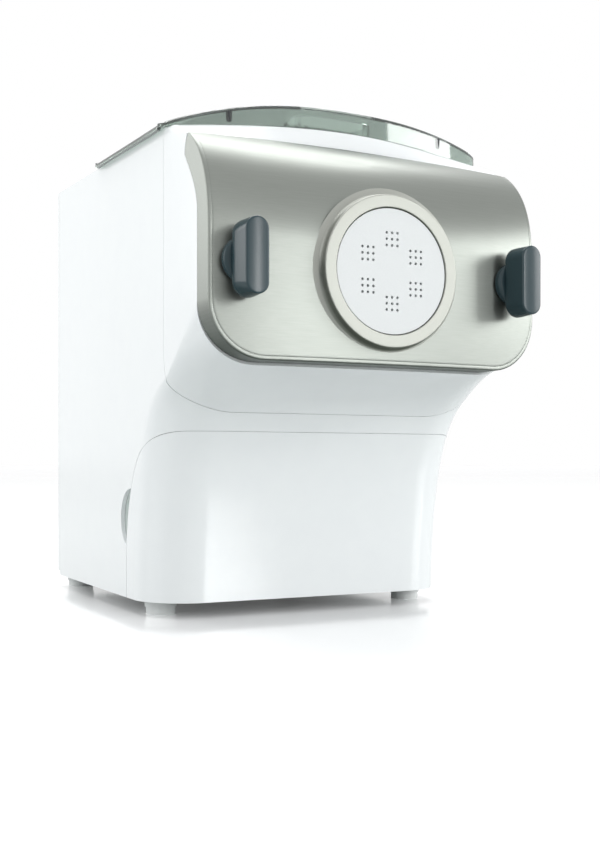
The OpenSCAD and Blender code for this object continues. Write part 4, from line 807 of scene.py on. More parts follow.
    def bezel_bend(self, t: float, gap: float) -> Pair:
        """Point on the seam behind the bezel's side.

        Args:
            t: share of the seam from below.
            gap: distance behind the seam.

        Returns:
            The point as (y, z).
        """
        z0 = self.bezel_seam_z + self.bezel_rise
        start = Vector((self.neck_y(z0) + self.corner_r, z0))
        knee = Vector((self.bezel_d, z0 + self.bezel_knee * (self.bezel_d - start.x)))
        end = Vector((self.bezel_d, self.bezel_bend_z))
        along = (knee - start).lerp(end - knee, t).normalized()
        spot = start.lerp(knee, t).lerp(knee.lerp(end, t), t) + gap * Vector((along.y, -along.x))
        return spot.x, spot.y

    def hood_z(self, x: float, y: float) -> float:
        """Height of the crowned top behind the lid."""
        edge = self.edge_z(y)
        return edge + (self.crown_z - self.hood_drop - edge) * (1 - (x / self.half_w) ** 2)

    def front_girths(self) -> list[float]:
        """Girths of the columns from the middle to the end of a corner."""
        flat, corner = self.columns
        return spread(0, self.flat, flat)[:-1] + spread(self.flat, self.turn, corner)

    def side_column(self, low: Pair, high: Pair, rows: int) -> list[Point]:
        """Straight column on the side wall from low to high, each (y, z)."""
        return [(self.half_w, mix(low[0], high[0], t), mix(low[1], high[1], t))
                for t in spread(0, 1, rows)]


FORM = Form()


def mirrored(column: Sequence[Point]) -> list[Point]:
    """The same column on the other side of the middle plane."""
    return [(-x, y, z) for x, y, z in column]


def bowed(column: Sequence[Point], edge: Sequence[Point], share: float) -> list[Point]:
    """Bends a straight column like the curved edge of the corner that it follows.

    Args:
        column: straight column with as many points as the edge.
        edge: curved column at the end of the corner.
        share: share of the edge's curve that the column takes.

    Returns:
        The bent column.
    """
    straight = FORM.side_column(edge[0][1:], edge[-1][1:], len(edge))
    return [tuple(c[k] + share * (e[k] - s[k]) for k in range(3))
            for c, e, s in zip(column, edge, straight)]


def both_sides(half: Grid) -> Grid:
    """Columns of the whole band from those of its right half, which start in the middle."""
    return [mirrored(c) for c in reversed(half[1:])] + list(half)


# ---------------------------------------------------------------- sub-assemblies


@dataclass
class Housing:
    """White moulded panels of the body."""

    rows: int = 18
    bezel_rows: int = 13
    # finger notches: depth and height of the centre, radius
    notch_y: float = 134.0
    notch_z: float = 59.0
    notch_r: float = 19.0
    # window of the controls: centre (y, z), half sizes and radius of its corners
    window: tuple[float, float, float, float] = (259.0, 224.0, 32.0, 52.0)
    window_r: float = 4.0
    # share of the seam behind the drawer, and of the corner's curve, that the columns have
    # where the bezel's seam ends its bend and where it reaches the top
    bends: Pair = (0.18, 0.24)
    bows: Pair = (0.88, 0.79)
    # how far the tops of the columns lie behind the drawer's side, before and after its end
    leans: Pair = (30.0, 39.0)
    # height of the bent part of the bezel's seam, along its inner edge
    bend_rise: float = 15.6
    # distance of the bezel behind the tip of the plate's wing
    tip_gap: float = 2.8
    # pull of the bezel's underside to its seam in y and z, at its middle
    belly: Pair = (0.72, 0.22)
    # girths of the bezel's upper columns, as shares of the half width
    top_shares: tuple[float, ...] = (0.985, 0.97, 0.95, 0.92, 0.88, 0.83, 0.77, 0.7, 0.62, 0.54,
                                     0.46, 0.38, 0.3, 0.22, 0.14, 0.07, 0)
    hood_y: float = 213.4
    surround_sink: float = 4.0
    # a point inside each panel
    shell_core: Point = (0.0, 170.0, 160.0)
    bezel_core: Point = (0.0, 75.0, 205.0)
    hood_core: Point = (0.0, 265.0, 200.0)

    def shell_grid(self) -> Grid:
        """Columns of the main shell from the middle of the front strip to the rear end.

        Returns:
            Columns of the right half.
        """
        f, n = FORM, self.rows
        half = [[f.body_point(u, z)
                 for z in spread(f.drawer_seam(u), f.bezel_seam(u) - f.seam, n)]
                for u in f.front_girths()]
        edge = half[-1]
        for t in spread(0, 1, 13)[1:]:
            column = f.side_column(f.drawer_bend(self.bends[0] * t, f.seam),
                                   f.bezel_bend(t, f.seam), n)
            half.append(bowed(column, edge, mix(1, self.bows[0], t)))
        for t in spread(0, 1, 7)[1:]:
            high = (f.bezel_d + f.seam, mix(f.bezel_bend_z, f.edge_z(f.bezel_d), t))
            column = f.side_column(f.drawer_bend(mix(*self.bends, t), f.seam), high, n)
            half.append(bowed(column, edge, mix(*self.bows, t)))
        for t in spread(0, 1, 17)[1:]:
            y = mix(f.bezel_d, f.drawer_side_y + self.leans[0], math.sin(t * math.pi / 2))
            low = f.drawer_bend(mix(self.bends[1], 1, t), f.seam)
            half.append(bowed(f.side_column(low, (y, f.edge_z(y)), n), edge,
                              self.bows[1] * (1 - t)))
        for t in spread(0, 1, 8):
            low_y = mix(f.drawer_side_y + f.seam, f.cover_y - f.seam, t)
            y = mix(f.drawer_side_y + self.leans[1], f.cover_y - f.seam, t)
            half.append(f.side_column((low_y, f.floor_gap), (y, f.edge_z(y)), n))
        return half

    def window_loop(self) -> list[Pair]:
        """Outline of the window of the controls, with round corners.

        Returns:
            Points (y, z) of the closed loop.
        """
        y, z, half_y, half_z = self.window
        r, step = self.window_r, 15
        return [(y + sy * (half_y - r) + r * math.cos(a), z + sz * (half_z - r) + r * math.sin(a))
                for sy, sz, start in ((1, 1, 0), (-1, 1, 90), (-1, -1, 180), (1, -1, 270))
                for a in (math.radians(start + step * i) for i in range(90 // step + 1))]

    def main_shell(self) -> None:
        """Builds the shell with its finger notches and the window of the controls."""
        f, deep, near = FORM, 20, 15
        obj = shell("shell_panel", both_sides(self.shell_grid()), f.wall, self.shell_core)
        notches = [rod("notch", self.notch_r, deep,
                       (side.value * f.half_w, self.notch_y, self.notch_z), Axis.RIGHT, 96)
                   for side in Side]
        window = loft("window", [[(x, y, z) for y, z in self.window_loop()]
                                 for x in (f.half_w - near, f.half_w + near)])
        cut(obj, *notches, window, solver=Solver.EXACT)
        dress(obj, GLOSS_ABS, "housing", "gloss_white", "main_shell", radius=0.5)

    def bezel_bottom(self, u: float) -> list[Point]:
        """Column of the bezel under the plate at girth u.

        Args:
            u: girth from the middle.

        Returns:
            Points from the plate's edge to the seam.
        """
        f = FORM
        start, r, stretch = f.half_w - f.plate_corner_r, f.plate_corner_r, 1.05
        a = math.pi / 2 * f.corner_share(u, r)
        x = u if u < start else start + r * math.sin(a)
        inner = (x, f.plate_t + f.seam + stretch * f.sweep(x), f.neck_z + r * (1 - math.cos(a)))
        outer = f.body_point(u, f.bezel_seam(u))
        side = min(1.0, u / f.turn) ** 2
        pull = (0.5, mix(self.belly[0], 0.5, side), mix(self.belly[1], 0.5, side))
        bend = [mix(i, o, k) for i, o, k in zip(inner, outer, pull)]
        return [tuple((1 - s) ** 2 * i + 2 * s * (1 - s) * b + s * s * o
                      for i, b, o in zip(inner, bend, outer))
                for s in spread(0, 1, self.bezel_rows)]

    def bezel_rear_y(self, x: float) -> float:
        """Depth of the bezel's rear edge, along the lid's bowed front."""
        return FORM.lid_front_y - FORM.seam + FORM.lid_bow * (x / FORM.half_w) ** 2

    def bezel_top(self, x: float) -> list[Point]:
        """Column of the bezel above the plate, rolled back under the lid's front edge.

        Args:
            x: distance from the middle plane.

        Returns:
            Points from the plate's top edge to the lid.
        """
        f, lift, gap, slant = FORM, 0.6, 1.2, 2
        crown = f.plate_crown * (1 - (x / f.half_w) ** 2)
        inner_z = f.plate_top_z + lift + crown
        inner_y = f.curve_y(inner_z - lift) + gap + slant * x / f.half_w
        rear_y = self.bezel_rear_y(x)
        rear_z = f.edge_z(rear_y) + crown
        return [(x, mix(inner_y, rear_y, s), mix(inner_z, rear_z, math.sin(s * math.pi / 2)))
                for s in spread(0, 1, self.bezel_rows)]

    def front_bezel(self) -> None:
        """Builds the white surround of the plate as one closed band."""
        f, n = FORM, self.bezel_rows
        half = [self.bezel_bottom(u) for u in f.front_girths()]
        low_z = f.neck_z + f.plate_corner_r
        bend_top, rear_z = low_z + self.bend_rise, f.edge_z(f.bezel_d)
        for t in spread(0, 1, 13)[1:]:
            z = mix(low_z, bend_top, t)
            half.append(f.side_column((f.wing_y(z) + f.seam, z), f.bezel_bend(t, 0), n))
        for t in spread(0, 1, 30)[1:]:
            z = mix(bend_top, f.swoop_high_z, t)
            high = (f.bezel_d, mix(f.bezel_bend_z, rear_z - 6, t))
            half.append(f.side_column((f.wing_y(z) + f.seam, z), high, n))
        corner_y = self.bezel_rear_y(f.half_w)
        tip_y = f.curve_y(f.plate_top_z) + self.tip_gap
        tips = (  # (y, z) round the wing's tip, each with the point beside it on the rear edge
            ((f.swoop_y - 0.6, f.swoop_high_z + 4), (f.bezel_d, rear_z - 3)),
            ((f.swoop_y - 2.5, f.plate_top_z - 2), (f.bezel_d, rear_z)),
            ((tip_y, f.plate_top_z + f.seam), (corner_y, f.edge_z(corner_y))))
        half += [f.side_column((i[0] + f.seam, i[1]), (o[0] + f.seam, o[1]), n) for i, o in tips]
        half += [self.bezel_top(share * f.half_w) for share in self.top_shares]
        ring = half + [mirrored(c) for c in reversed(half[1:-1])]
        obj = shell("bezel_panel", ring, f.wall, self.bezel_core, closed=True)
        dress(obj, GLOSS_ABS, "housing", "gloss_white", "front_bezel", radius=0.55)

    def rear_hood(self) -> None:
        """Builds the crowned cover behind the lid, with its lip down to the ledge."""
        f = FORM
        w = f.half_w - f.wall - f.seam
        grid = []
        for x in spread(-w, w, 49):
            lip = f.edge_z(self.hood_y) - self.surround_sink + f.seam
            top = f.hood_z(x, self.hood_y)
            grid.append([(x, self.hood_y, mix(lip, top, t)) for t in (0, 0.5)]
                        + [(x, y, f.hood_z(x, y))
                           for y in spread(self.hood_y, f.cover_y - f.seam, 12)])
        obj = shell("hood_panel", grid, f.wall, self.hood_core)
        dress(obj, GLOSS_ABS, "housing", "gloss_white", "rear_hood", radius=0.6)

    def build(self) -> None:
        """Builds all the panels of the housing."""
        self.main_shell()
        self.front_bezel()
        self.rear_hood()


@dataclass
class FrontPlate:
    """Metal-skinned front plate with the ring of its mouth."""

    edge_r: float = 1.0
    # fine line round the face: distance from the edge, depth and half width
    line_inset: float = 2.4
    line_depth: float = 0.14
    line_half: float = 0.2
    rim_w: float = 3.6
    # points on each straight side of the outline
    straight: int = 8
    mouth_r: float = 38.0
    stud_bore_r: float = 7.3
    # bend of the wing's rear edge, as shares in y and z of the way from tip to swoop
    tip_bend: Pair = (0.7, 0.35)
    # ring: radii of its bore, outside and foot, reach of its face and foot in front of the
    # plate, rounding of its outer edge
    ring_bore: float = 35.5
    ring_outer: float = 42.8
    ring_foot: float = 47.5
    ring_reach: float = 6.0
    ring_flare: float = 3.5
    ring_edge: float = 0.8
    # tail of the ring inside the plate: radius and depth
    ring_tail: Pair = (37.9, 2.7)

    def rim_section(self) -> list[Pair]:
        """Section of the rim from its outer edge to the face.

        Returns:
            Points (inset from the outline, setback), front side last.
        """
        r, line, half = self.edge_r, self.line_inset, self.line_half
        arc = [(r - r * math.cos(a), r - r * math.sin(a)) for a in spread(0, math.pi / 2, 6)]
        return arc + [(line - half, 0), (line, self.line_depth), (line + half, 0),
                      (self.rim_w, 0)]

    def outline(self) -> list[tuple[Pair, Pair]]:
        """Front outline up to the curve's start, from the right side round to the left.

        Returns:
            Points (x, z), each with its inward direction.
        """
        f = FORM
        w, low, r = f.half_w, f.plate_bottom_z, f.plate_corner_r
        half = [((w, z), (-1, 0)) for z in spread(f.curve_start_z, low + r, self.straight)[:-1]]
        half += [((w - r + r * math.cos(a), low + r - r * math.sin(a)),
                  (-math.cos(a), math.sin(a))) for a in spread(0, math.pi / 2, 25)]
        half += [((x, low), (0, 1)) for x in spread(w - r, 0, 12)[1:]]
        return half + [((-x, z), (-nx, nz)) for (x, z), (nx, nz) in reversed(half[:-1])]

    def rim(self) -> Grid:
        """Columns round the plate's sides and lower edge, from its back to the face.

        Returns:
            One column for each point of the outline.
        """
        f, section = FORM, self.rim_section()
        return [[(x, f.plate_t + f.sweep(x), z)]
                + [(x + nx * i, f.sweep(x + nx * i) + y, z + nz * i) for i, y in section]
                for (x, z), (nx, nz) in self.outline()]

    def rolled(self, feet: list[Pair]) -> Grid:
        """Rows of the rolled top, with a wing at each side.

        Args:
            feet: points (x, z) where the face meets the rim.

        Returns:
            Rows from the curve's start up, each from side to side.
        """
        f, w = FORM, FORM.half_w
        rows = []
        for v in spread(0, 1, 29):
            side_z = mix(f.curve_start_z, f.plate_top_z, v)
            row = [(w, self.wing_back(side_z), side_z)]
            row += [(w - i, f.face_y(w - i, side_z) + y, side_z)
                    for i, y in self.rim_section()[:-1]]
            edge = [(-x, y, z) for x, y, z in reversed(row)]
            for x, _ in feet:
                top = f.plate_top_z + f.plate_crown * (1 - (x / w) ** 2)
                z = mix(f.curve_start_z, top, v)
                row.append((x, f.face_y(x, z), z))
            rows.append(row + edge)
        return rows

    def wing_back(self, z: float) -> float:
        """Rear edge of the side, which closes to a tip at the plate's top.

        Args:
            z: height.

        Returns:
            Distance behind the plate's face.
        """
        f, share = FORM, self.tip_bend
        if z <= f.swoop_high_z:
            return f.wing_y(z)
        tip_y = f.curve_y(f.plate_top_z) + self.edge_r + self.line_half
        mid_y = mix(tip_y, f.swoop_y, share[0])
        mid_z = mix(f.plate_top_z, f.swoop_high_z, share[1])
        if z <= mid_z:
            return mix(f.swoop_y, mid_y, (z - f.swoop_high_z) / (mid_z - f.swoop_high_z))
        return mix(mid_y, tip_y, (z - mid_z) / (f.plate_top_z - mid_z))

    def plate(self) -> None:
        """Builds the plate as a swept tray whose face rolls back at the top into side wings."""
        f, deep, facing, through = FORM, self.rim_w, 0.9, 30
        inside = slice(self.straight - 1, 1 - self.straight)
        feet = [(x + nx * deep, z + nz * deep) for (x, z), (nx, nz) in self.outline()[inside]]
        face = [[(x, f.sweep(x), mix(f.curve_start_z, z, t)) for t in spread(0, 1, 8)]
                for x, z in feet]
        verts, faces = [], []
        for patch in (self.rim(), face, self.rolled(feet)):
            base, rows = len(verts), len(patch[0])
            verts += [p for column in patch for p in column]
            faces += [[base + i * rows + j, base + i * rows + j + 1,
                       base + (i + 1) * rows + j + 1, base + (i + 1) * rows + j]
                      for i in range(len(patch) - 1) for j in range(rows - 1)]
        obj = new_object("plate_skin", verts, faces)
        if sum(p.normal.y for p in obj.data.polygons if abs(p.normal.y) > facing) > 0:
            obj.data.flip_normals()
        thick = obj.modifiers.new("thickness", "SOLIDIFY")
        thick.thickness = f.plate_wall * MM
        thick.offset = -1
        thick.use_even_offset = True
        bores = [rod("bore", radius, through, (x, 0, f.axis_z))
                 for x, radius in ((0, self.mouth_r), (f.stud_x, self.stud_bore_r),
                                   (-f.stud_x, self.stud_bore_r))]
        cut(obj, *bores)
        dress(obj, PLATE_METAL, "front_plate", "silver_plate", "front_panel", radius=0.3)

    def ring(self) -> None:
        """Builds the ring round the mouth, with its flared foot."""
        bore, reach, outer, edge = self.ring_bore, self.ring_reach, self.ring_outer, self.ring_edge
        foot, flare, (tail_r, tail) = self.ring_foot, self.ring_flare, self.ring_tail
        turn = foot - outer
        profile = [(bore, -tail), (bore, reach - 0.6), (bore + 0.2, reach - 0.2),
                   (bore + 0.6, reach)]
        profile += [(outer - edge + edge * math.sin(a), reach - edge + edge * math.cos(a))
                    for a in spread(0, math.pi / 2, 7)]
        profile += [(foot - turn * math.cos(a), flare - turn * math.sin(a))
                    for a in spread(0, math.pi / 4, 7)]
        profile += [(foot, -edge), (tail_r, -edge), (tail_r, -tail)]
        obj = lathe("mouth_ring_skin", profile, (0, 0, FORM.axis_z), steps=192)
        dress(obj, RING_METAL, "front_plate", "silver_plate", "mouth_ring", radius=0.15)

    def build(self) -> None:
        """Builds the plate and its ring."""
        self.plate()
        self.ring()


@dataclass
class Knob:
    """Clamp knob: an oblong grip on a round boss with a sleeve."""

    side: Side
    # half distance between the end centres and radius of the ends, at root and face
    root: Pair = (12.0, 8.5)
    front: Pair = (13.4, 6.7)
    root_y: float = -2.9
    end_y: float = -17.5
    flank: float = 2.6
    chamfer: float = 0.4
    edge: float = 1.0
    crown: float = 0.5
    # sleeve with its collar, then the boss: radius and distance in front of the plate
    sleeve_profile: tuple[Pair, ...] = (
        (4.05, 1.55), (4.05, -13.9), (7, -13.9), (7, -10.25), (10, -10.25), (10, -7.3), (7, -7.3),
        (7, -1.7), (12.2, -1.7), (12.5, -1.4), (12.5, 1.0), (12.2, 1.8), (11.4, 2.4), (10.2, 2.8),
        (7.5, 2.9), (0, 2.9), (0, 1.55))

    @property
    def x(self) -> float:
        """Distance of its axis from the middle plane."""
        return self.side.value * FORM.stud_x

    def oval(self, y: float, half: float, r: float, bow: float = 0.0) -> list[Point]:
        """Loop of an upright oblong at depth y.

        Args:
            y: depth.
            half: half distance between its end centres.
            r: radius of its ends.
            bow: share of the face's crown, which bows the loop forward in the middle.

        Returns:
            Points round the loop.
        """
        points, steps, upper = [], 72, 1e-9
        for k in range(steps):
            a = math.tau * k / steps
            across = r * math.cos(a)
            rise = self.crown * max(0.0, 1 - (across / self.front[1]) ** 2) * bow
            z = FORM.axis_z + math.copysign(half, math.sin(a) + upper) + r * math.sin(a)
            points.append((self.x + across, y - rise, z))
        return points

    def grip(self) -> None:
        """Builds the grip, which narrows to a front face that is crowned across."""
        (h0, r0), (h1, r1) = self.root, self.front
        start_y = self.end_y + self.edge
        loops = [self.oval(self.root_y, h0, r0 - self.chamfer),
                 self.oval(self.root_y - self.chamfer, h0, r0)]
        loops += [self.oval(mix(self.root_y - self.flank, start_y, t), mix(h0, h1, t),
                            mix(r0, r1, t), t) for t in spread(0, 1, 7)]
        loops += [self.oval(start_y - self.edge * math.sin(a), h1,
                            r1 - self.edge * (1 - math.cos(a)), 1)
                  for a in spread(0, math.pi / 2, 7)[1:]]
        loops += [self.oval(self.end_y, h1, (r1 - self.edge) * t + 0.02, 1)
                  for t in (0.85, 0.7, 0.5, 0.3, 0.1)]
        obj = loft(f"{self.side.word}_grip_skin", loops)
        self.finish(obj, "grip", 0.0)

    def sleeve(self) -> None:
        """Builds the boss, the bored sleeve and its collar."""
        centre = (self.x, 0, FORM.axis_z)
        obj = lathe(f"{self.side.word}_boss_skin", self.sleeve_profile, centre, steps=96)
        self.finish(obj, "sleeve", 0.15)

    def finish(self, obj: bpy.types.Object, solid: str, radius: float) -> None:
        """Dresses one piece of the knob in place of the solid with that word in its name."""
        knob = f"{self.side.word}_knob"
        dress(obj, SLATE_ABS, knob, "slate", f"{knob}_{solid}", radius=radius)

    def build(self) -> None:
        """Builds grip and sleeve."""
        self.grip()
        self.sleeve()


@dataclass
class Lid:
    """Clear hinged lid with a bowed front edge and a pouring recess."""

    half_w: float = 110.5
    rear_y: float = 205.0
    rear_r: float = 10.0
    wall: float = 2.2
    edge_h: float = 3.0
    drop: float = 1.2
    # front corners: radius, run from the front edge to their centres, and start of the turn
    front_r: float = 6.0
    front_run: float = 5.0
    front_turn: float = math.radians(-52)
    # how much higher the right shoulder is at the front, and the fullness of the crown from
    # the rear to the front
    right_rise: float = 9.0
    fullness: Pair = (2, 2.7)
    # pouring recess: depth of its centre, half width, half depth, and squareness
    tray: tuple[float, float, float] = (73.0, 26.0, 14.0)
    tray_power: int = 5
    # shares of the way out from the recess, and how far the rim has turned down along it
    steps: tuple[float, ...] = (0, 0.03, 0.1, 0.18, 0.27, 0.36, 0.46, 0.56, 0.66, 0.76, 0.84, 0.9,
                                0.94, 0.965, 0.985, 0.994, 1)
    rim_at: tuple[float, ...] = (0.88, 0.94, 0.97, 0.985, 0.994, 1)
    rim_drop: tuple[float, ...] = (0, 0.3, 0.65, 1.05, 1.5, 2.3)
    core: Point = (0.0, 130.0, 100.0)
    bumper_place: Pair = (72.0, 58.0)
    bumper_h: float = 6.0
    bumper_r: float = 1.6
    bumper_edge: float = 0.6

    def front_edge(self, x: float) -> float:
        """Depth of the lid's front edge at x."""
        return FORM.lid_front_y + FORM.lid_bow * (abs(x) / self.half_w) ** 2

    def top_z(self, x: float, y: float) -> float:
        """Height of the lid's surface, fuller and higher on the right along its front edge.

        Args:
            x: distance from the middle plane, more than 0 on the right.
            y: distance behind the plate's face.

        Returns:
            Height over the counter.
        """
        fade = (self.rear_y - y) / (self.rear_y - FORM.lid_front_y)
        fade = min(1.0, max(0.0, fade))
        low = FORM.edge_z(y) + self.edge_h + (fade * self.right_rise if x > 0 else 0.0)
        side = min(1.0, abs(x) / self.half_w) ** mix(*self.fullness, fade)
        return FORM.crown_z - (FORM.crown_z - low) * side

    def outline(self) -> list[Pair]:
        """Plan outline from the middle of the front edge round to the right.

        Returns:
            Points (x, y) of the closed loop.
        """
        w, rear, r, fr = self.half_w, self.rear_y, self.rear_r, self.front_r
        side_y = self.front_edge(w) + self.front_run
        right = [(x, self.front_edge(x)) for x in spread(0, w - fr / 2, 25)[:-1]]
        right += [(w - fr + fr * math.cos(a), side_y + fr * math.sin(a))
                  for a in spread(self.front_turn, 0, 8)]
        right += [(w, mix(side_y, rear - r, t)) for t in spread(0, 1, 17)[1:-1]]
        right += [(w - r + r * math.cos(a), rear - r + r * math.sin(a))
                  for a in spread(0, math.pi / 2, 9)]
        right += [(mix(w - r, 0, t), rear) for t in spread(0, 1, 13)[1:-1]]
        return right + [(0, rear)] + [(-x, y) for x, y in reversed(right[1:])]

    def deep_z(self, x: float, y: float) -> float:
        """Height of the lid's lower edge at a point of its outline.

        Args:
            x: distance from the middle plane.
            y: distance behind the plate's face.

        Returns:
            Height over the counter.
        """
        f, clear, near = FORM, 0.5, 0.1
        if y < f.lid_front_y + f.lid_bow - 1:
            bx = min(f.half_w, abs(x))
            by = f.lid_front_y - f.seam + f.lid_bow * (bx / f.half_w) ** 2
            return f.edge_z(by) + f.plate_crown * (1 - (bx / f.half_w) ** 2) + clear
        return f.edge_z(y) + (-self.drop if abs(x) > self.half_w - near else f.seam)

    def build(self) -> None:
        """Builds the lid's shell from the recess out to its turned-down rim, and its stops."""
        (ty, tw, td), power = self.tray, self.tray_power
        drops = np.interp(self.steps, self.rim_at, self.rim_drop)
        grid = []
        for x, y in self.outline():
            a = math.atan2(y - ty, x)
            c, s = math.cos(a), math.sin(a)
            reach = ((abs(c) / tw) ** power + (abs(s) / td) ** power) ** (-1 / power)
            deep = self.deep_z(x, y)
            column = []
            for t, drop in zip(self.steps, drops):
                px, py = mix(c * reach, x, t), mix(ty + s * reach, y, t)
                column.append((px, py, max(self.top_z(px, py) - drop, deep + self.wall)))
            grid.append(column + [(x, y, deep)])
        obj = shell("lid_skin", grid, self.wall, self.core, closed=True)
        dress(obj, CLEAR_SAN, "lid", "smoke_clear", "lid", radius=0.35)
        for side in Side:
            self.bumper(side)

    def bumper(self, side: Side) -> None:
        """Makes one stop under the crown, which rests on the rim of the chamber's surround.

        Args:
            side: side of the lid that it is on.
        """
        x, y = side.value * self.bumper_place[0], self.bumper_place[1]
        top = self.top_z(x, y) - self.wall
        foot, r, edge = top - self.bumper_h, self.bumper_r, self.bumper_edge
        profile = [(0, top), (r + 0.5, top), (r + 0.2, top - 1.0), (r, foot + edge),
                   (r - edge, foot), (0, foot)]
        obj = lathe("lid_stop", profile, (x, y, 0), Axis.UP)
        dress(obj, DARK_NYLON, "lid", "dark_plastic", radius=0.15)


@dataclass
class Drawer:
    """Curved white front of the drawer under the neck."""

    rows: int = 20
    # height of its rear end over the lowest point of the seam behind it
    tail_h: float = 4.0
    core: Point = (0.0, 170.0, 60.0)

    def build(self) -> None:
        """Builds the front, which wraps round both sides."""
        f, n = FORM, self.rows
        half = [[f.body_point(u, z) for z in spread(f.floor_gap, f.drawer_seam(u) - f.seam, n)]
                for u in f.front_girths()]
        high_y = f.neck_y(f.drawer_seam(f.turn)) + f.corner_r
        low_y = f.neck_y(f.floor_gap) + f.corner_r
        end_y = f.drawer_side_y - f.seam
        edge = half[-1]
        for a in spread(0, math.pi / 2, 17)[1:-1]:
            yt, yl = mix(high_y, end_y, math.sin(a)), mix(low_y, end_y, math.sin(a))
            share = max(0.0, yt - (f.drawer_side_y - f.drawer_arc_y)) / f.drawer_arc_y
            arc = f.drawer_arc_z * math.sqrt(max(0.0, 1 - share * share))
            top = max(f.drawer_arc_low + arc - f.seam, f.drawer_arc_low)
            column = f.side_column((yl, f.floor_gap), (yt, top), n)
            half.append(bowed(column, edge, 1 - math.sin(a)))
        half.append(f.side_column((end_y, f.floor_gap), (end_y, f.drawer_arc_low + self.tail_h),
                                  n))
        obj = shell("drawer_skin", both_sides(half), f.wall, self.core)
        dress(obj, GLOSS_ABS, "drawer", "gloss_white", "drawer_front", radius=0.5)


@dataclass
class Carried:
    """Solids that keep their own shape and get a finish and soft edges."""

    finishes: dict[Finish, dict[str, float]] = field(default_factory=lambda: CARRIED)

    def build(self) -> None:
        """Dresses every such solid."""
        for finish, radii in self.finishes.items():
            for name, radius in radii.items():
                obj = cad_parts[name]
                obj.data.materials.clear()
                obj.data.materials.append(finish.build())
                soften(obj, radius, weld=True)
                LOG.info("%s: carried in %s", name, finish.name)


@dataclass(frozen=True)
class Lamp:
    """Soft rectangular lamp, its sizes in metres and its power in watts."""

    name: str
    place: Point
    aim: Point
    size: Pair
    power: float

    def build(self) -> None:
        """Places the lamp and turns it to the point that it is aimed at."""
        data = bpy.data.lights.new(self.name, "AREA")
        data.shape = "RECTANGLE"
        data.size, data.size_y = self.size
        data.energy = self.power
        obj = add_object(self.name, data)
        obj.location = self.place
        way = Vector(self.aim) - Vector(self.place)
        obj.rotation_euler = way.to_track_quat("-Z", "Y").to_euler()


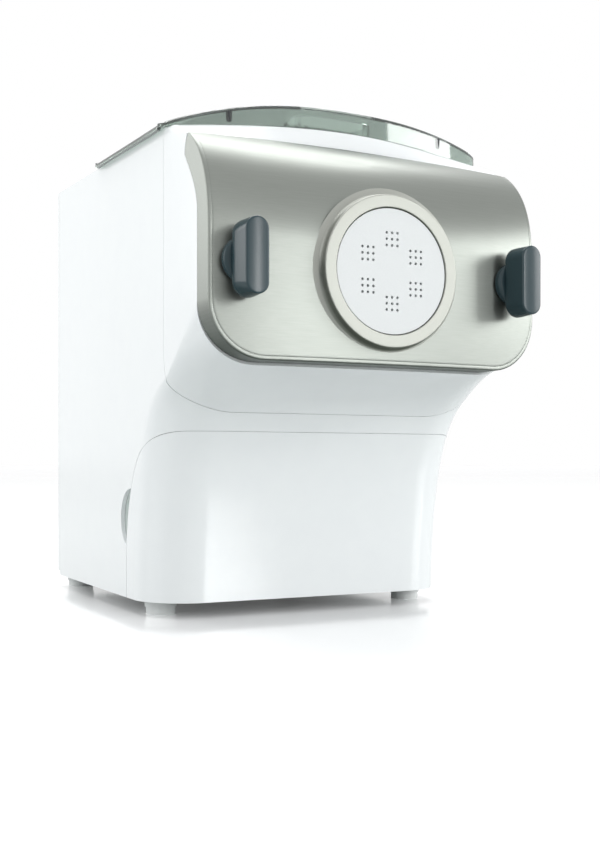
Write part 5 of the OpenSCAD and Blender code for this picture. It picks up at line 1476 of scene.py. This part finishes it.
@dataclass
class Studio:
    """Camera, pale floor, plain background and soft lamps."""

    eye: Point = (-0.32761, -0.68959, 0.09328)
    yaw: float = 26.82
    pitch: float = -0.15
    lens: float = 47.434
    shift_y: float = 0.05096
    # half width of the floor in metres, its own glow for the camera, and the world's light
    floor_half: float = 60.0
    lift: float = 0.06
    ambient: float = 0.8
    lamps: tuple[Lamp, ...] = (
        Lamp("side_softbox", (-1.6, 0.0, 0.7), (-0.1, 0.0, 0.15), (1.2, 1.2), 6.2),
        Lamp("back_softbox", (-0.95, 1.1, 0.7), (-0.1, 0.0, 0.2), (0.6, 0.6), 3.2),
        Lamp("front_softbox", (1.75, -1.25, 0.7), (0, -0.1, 0.1), (0.9, 0.7), 15.0),
        Lamp("low_bar", (0.4, -1.65, 0.22), (0, -0.15, 0.14), (0.4, 0.3), 0.8),
        Lamp("strip_light", (0.58, -1.63, 0.4), (0, -0.15, 0.2), (0.2, 0.4), 4.0),
        Lamp("top_softbox", (0.1, 0.5, 1.7), (0, -0.05, 0.25), (1.6, 0.5), 17.0),
    )

    def camera(self) -> None:
        """Sets the camera at the viewing angle, with a small vertical shift."""
        data = bpy.data.cameras.new("camera")
        data.sensor_fit = "VERTICAL"
        data.sensor_height = 36
        data.lens = self.lens
        data.shift_y = self.shift_y
        data.clip_start = 0.01
        obj = add_object("camera", data)
        yaw, pitch = math.radians(self.yaw), math.radians(self.pitch)
        way = Vector((math.sin(yaw) * math.cos(pitch), math.cos(yaw) * math.cos(pitch),
                      math.sin(pitch)))
        obj.rotation_euler = way.to_track_quat("-Z", "Y").to_euler()
        obj.location = self.eye
        bpy.context.scene.camera = obj

    def floor(self) -> None:
        """Makes the counter top, which the camera sees white and which keeps the shadow."""
        mesh = bpy.data.meshes.new("counter")
        h = self.floor_half
        mesh.from_pydata([(-h, -h, 0), (h, -h, 0), (h, h, 0), (-h, h, 0)], [], [(0, 1, 2, 3)])
        material = COUNTER.build()
        tree = material.node_tree
        shader = next(n for n in tree.nodes if n.type == "BSDF_PRINCIPLED")
        target = next(n for n in tree.nodes if n.type == "OUTPUT_MATERIAL")
        seen = add_node(tree, "LightPath").outputs["Is Camera Ray"]
        tint = shader.inputs["Base Color"].links[0].from_socket
        white = add_node(tree, "Mix", {"data_type": "RGBA"},
                         {SHARE: seen, FIRST: tint, SECOND: linear("fdfdfd")})
        tree.links.new(white.outputs[2], shader.inputs["Base Color"])
        lift = add_node(tree, "Math", {"operation": "MULTIPLY"}, {0: seen, 1: self.lift})
        glow = add_node(tree, "Emission", None, {"Strength": lift.outputs[0]})
        both = add_node(tree, "AddShader", None, {0: shader.outputs[0], 1: glow.outputs[0]})
        tree.links.new(both.outputs[0], target.inputs[0])
        mesh.materials.append(material)
        add_object("counter", mesh)

    def world(self) -> None:
        """Sets an even soft light, seen as plain white by the camera and in gloss and glass."""
        world = bpy.data.worlds.new("studio")
        world.use_nodes = True
        tree = world.node_tree
        tree.nodes.clear()
        path = add_node(tree, "LightPath").outputs
        seen = path["Is Camera Ray"]
        for ray in ("Is Glossy Ray", "Is Transmission Ray"):
            seen = add_node(tree, "Math", {"operation": "MAXIMUM"},
                            {0: seen, 1: path[ray]}).outputs[0]
        soft = add_node(tree, "Background", None,
                        {"Color": linear("fcfdff"), "Strength": self.ambient})
        white = add_node(tree, "Background", None, {"Color": (1, 1, 1, 1), "Strength": 1.0})
        both = add_node(tree, "MixShader", None,
                        {0: seen, 1: soft.outputs[0], 2: white.outputs[0]})
        add_node(tree, "OutputWorld", None, {"Surface": both.outputs[0]})
        bpy.context.scene.world = world

    def build(self) -> None:
        """Sets up the whole studio."""
        bpy.context.scene.view_settings.view_transform = "Standard"
        self.camera()
        self.floor()
        self.world()
        for lamp in self.lamps:
            lamp.build()


def main() -> None:
    """Builds every sub-assembly in order."""
    logging.basicConfig(level=logging.INFO, format="%(name)s %(message)s")
    parts = [Studio(), Carried(), Housing(), FrontPlate(), Knob(Side.LEFT), Knob(Side.RIGHT),
             Lid(), Drawer()]
    for part in parts:
        part.build()
        LOG.info("%s built", type(part).__name__)


if __name__ == "__main__":
    main()
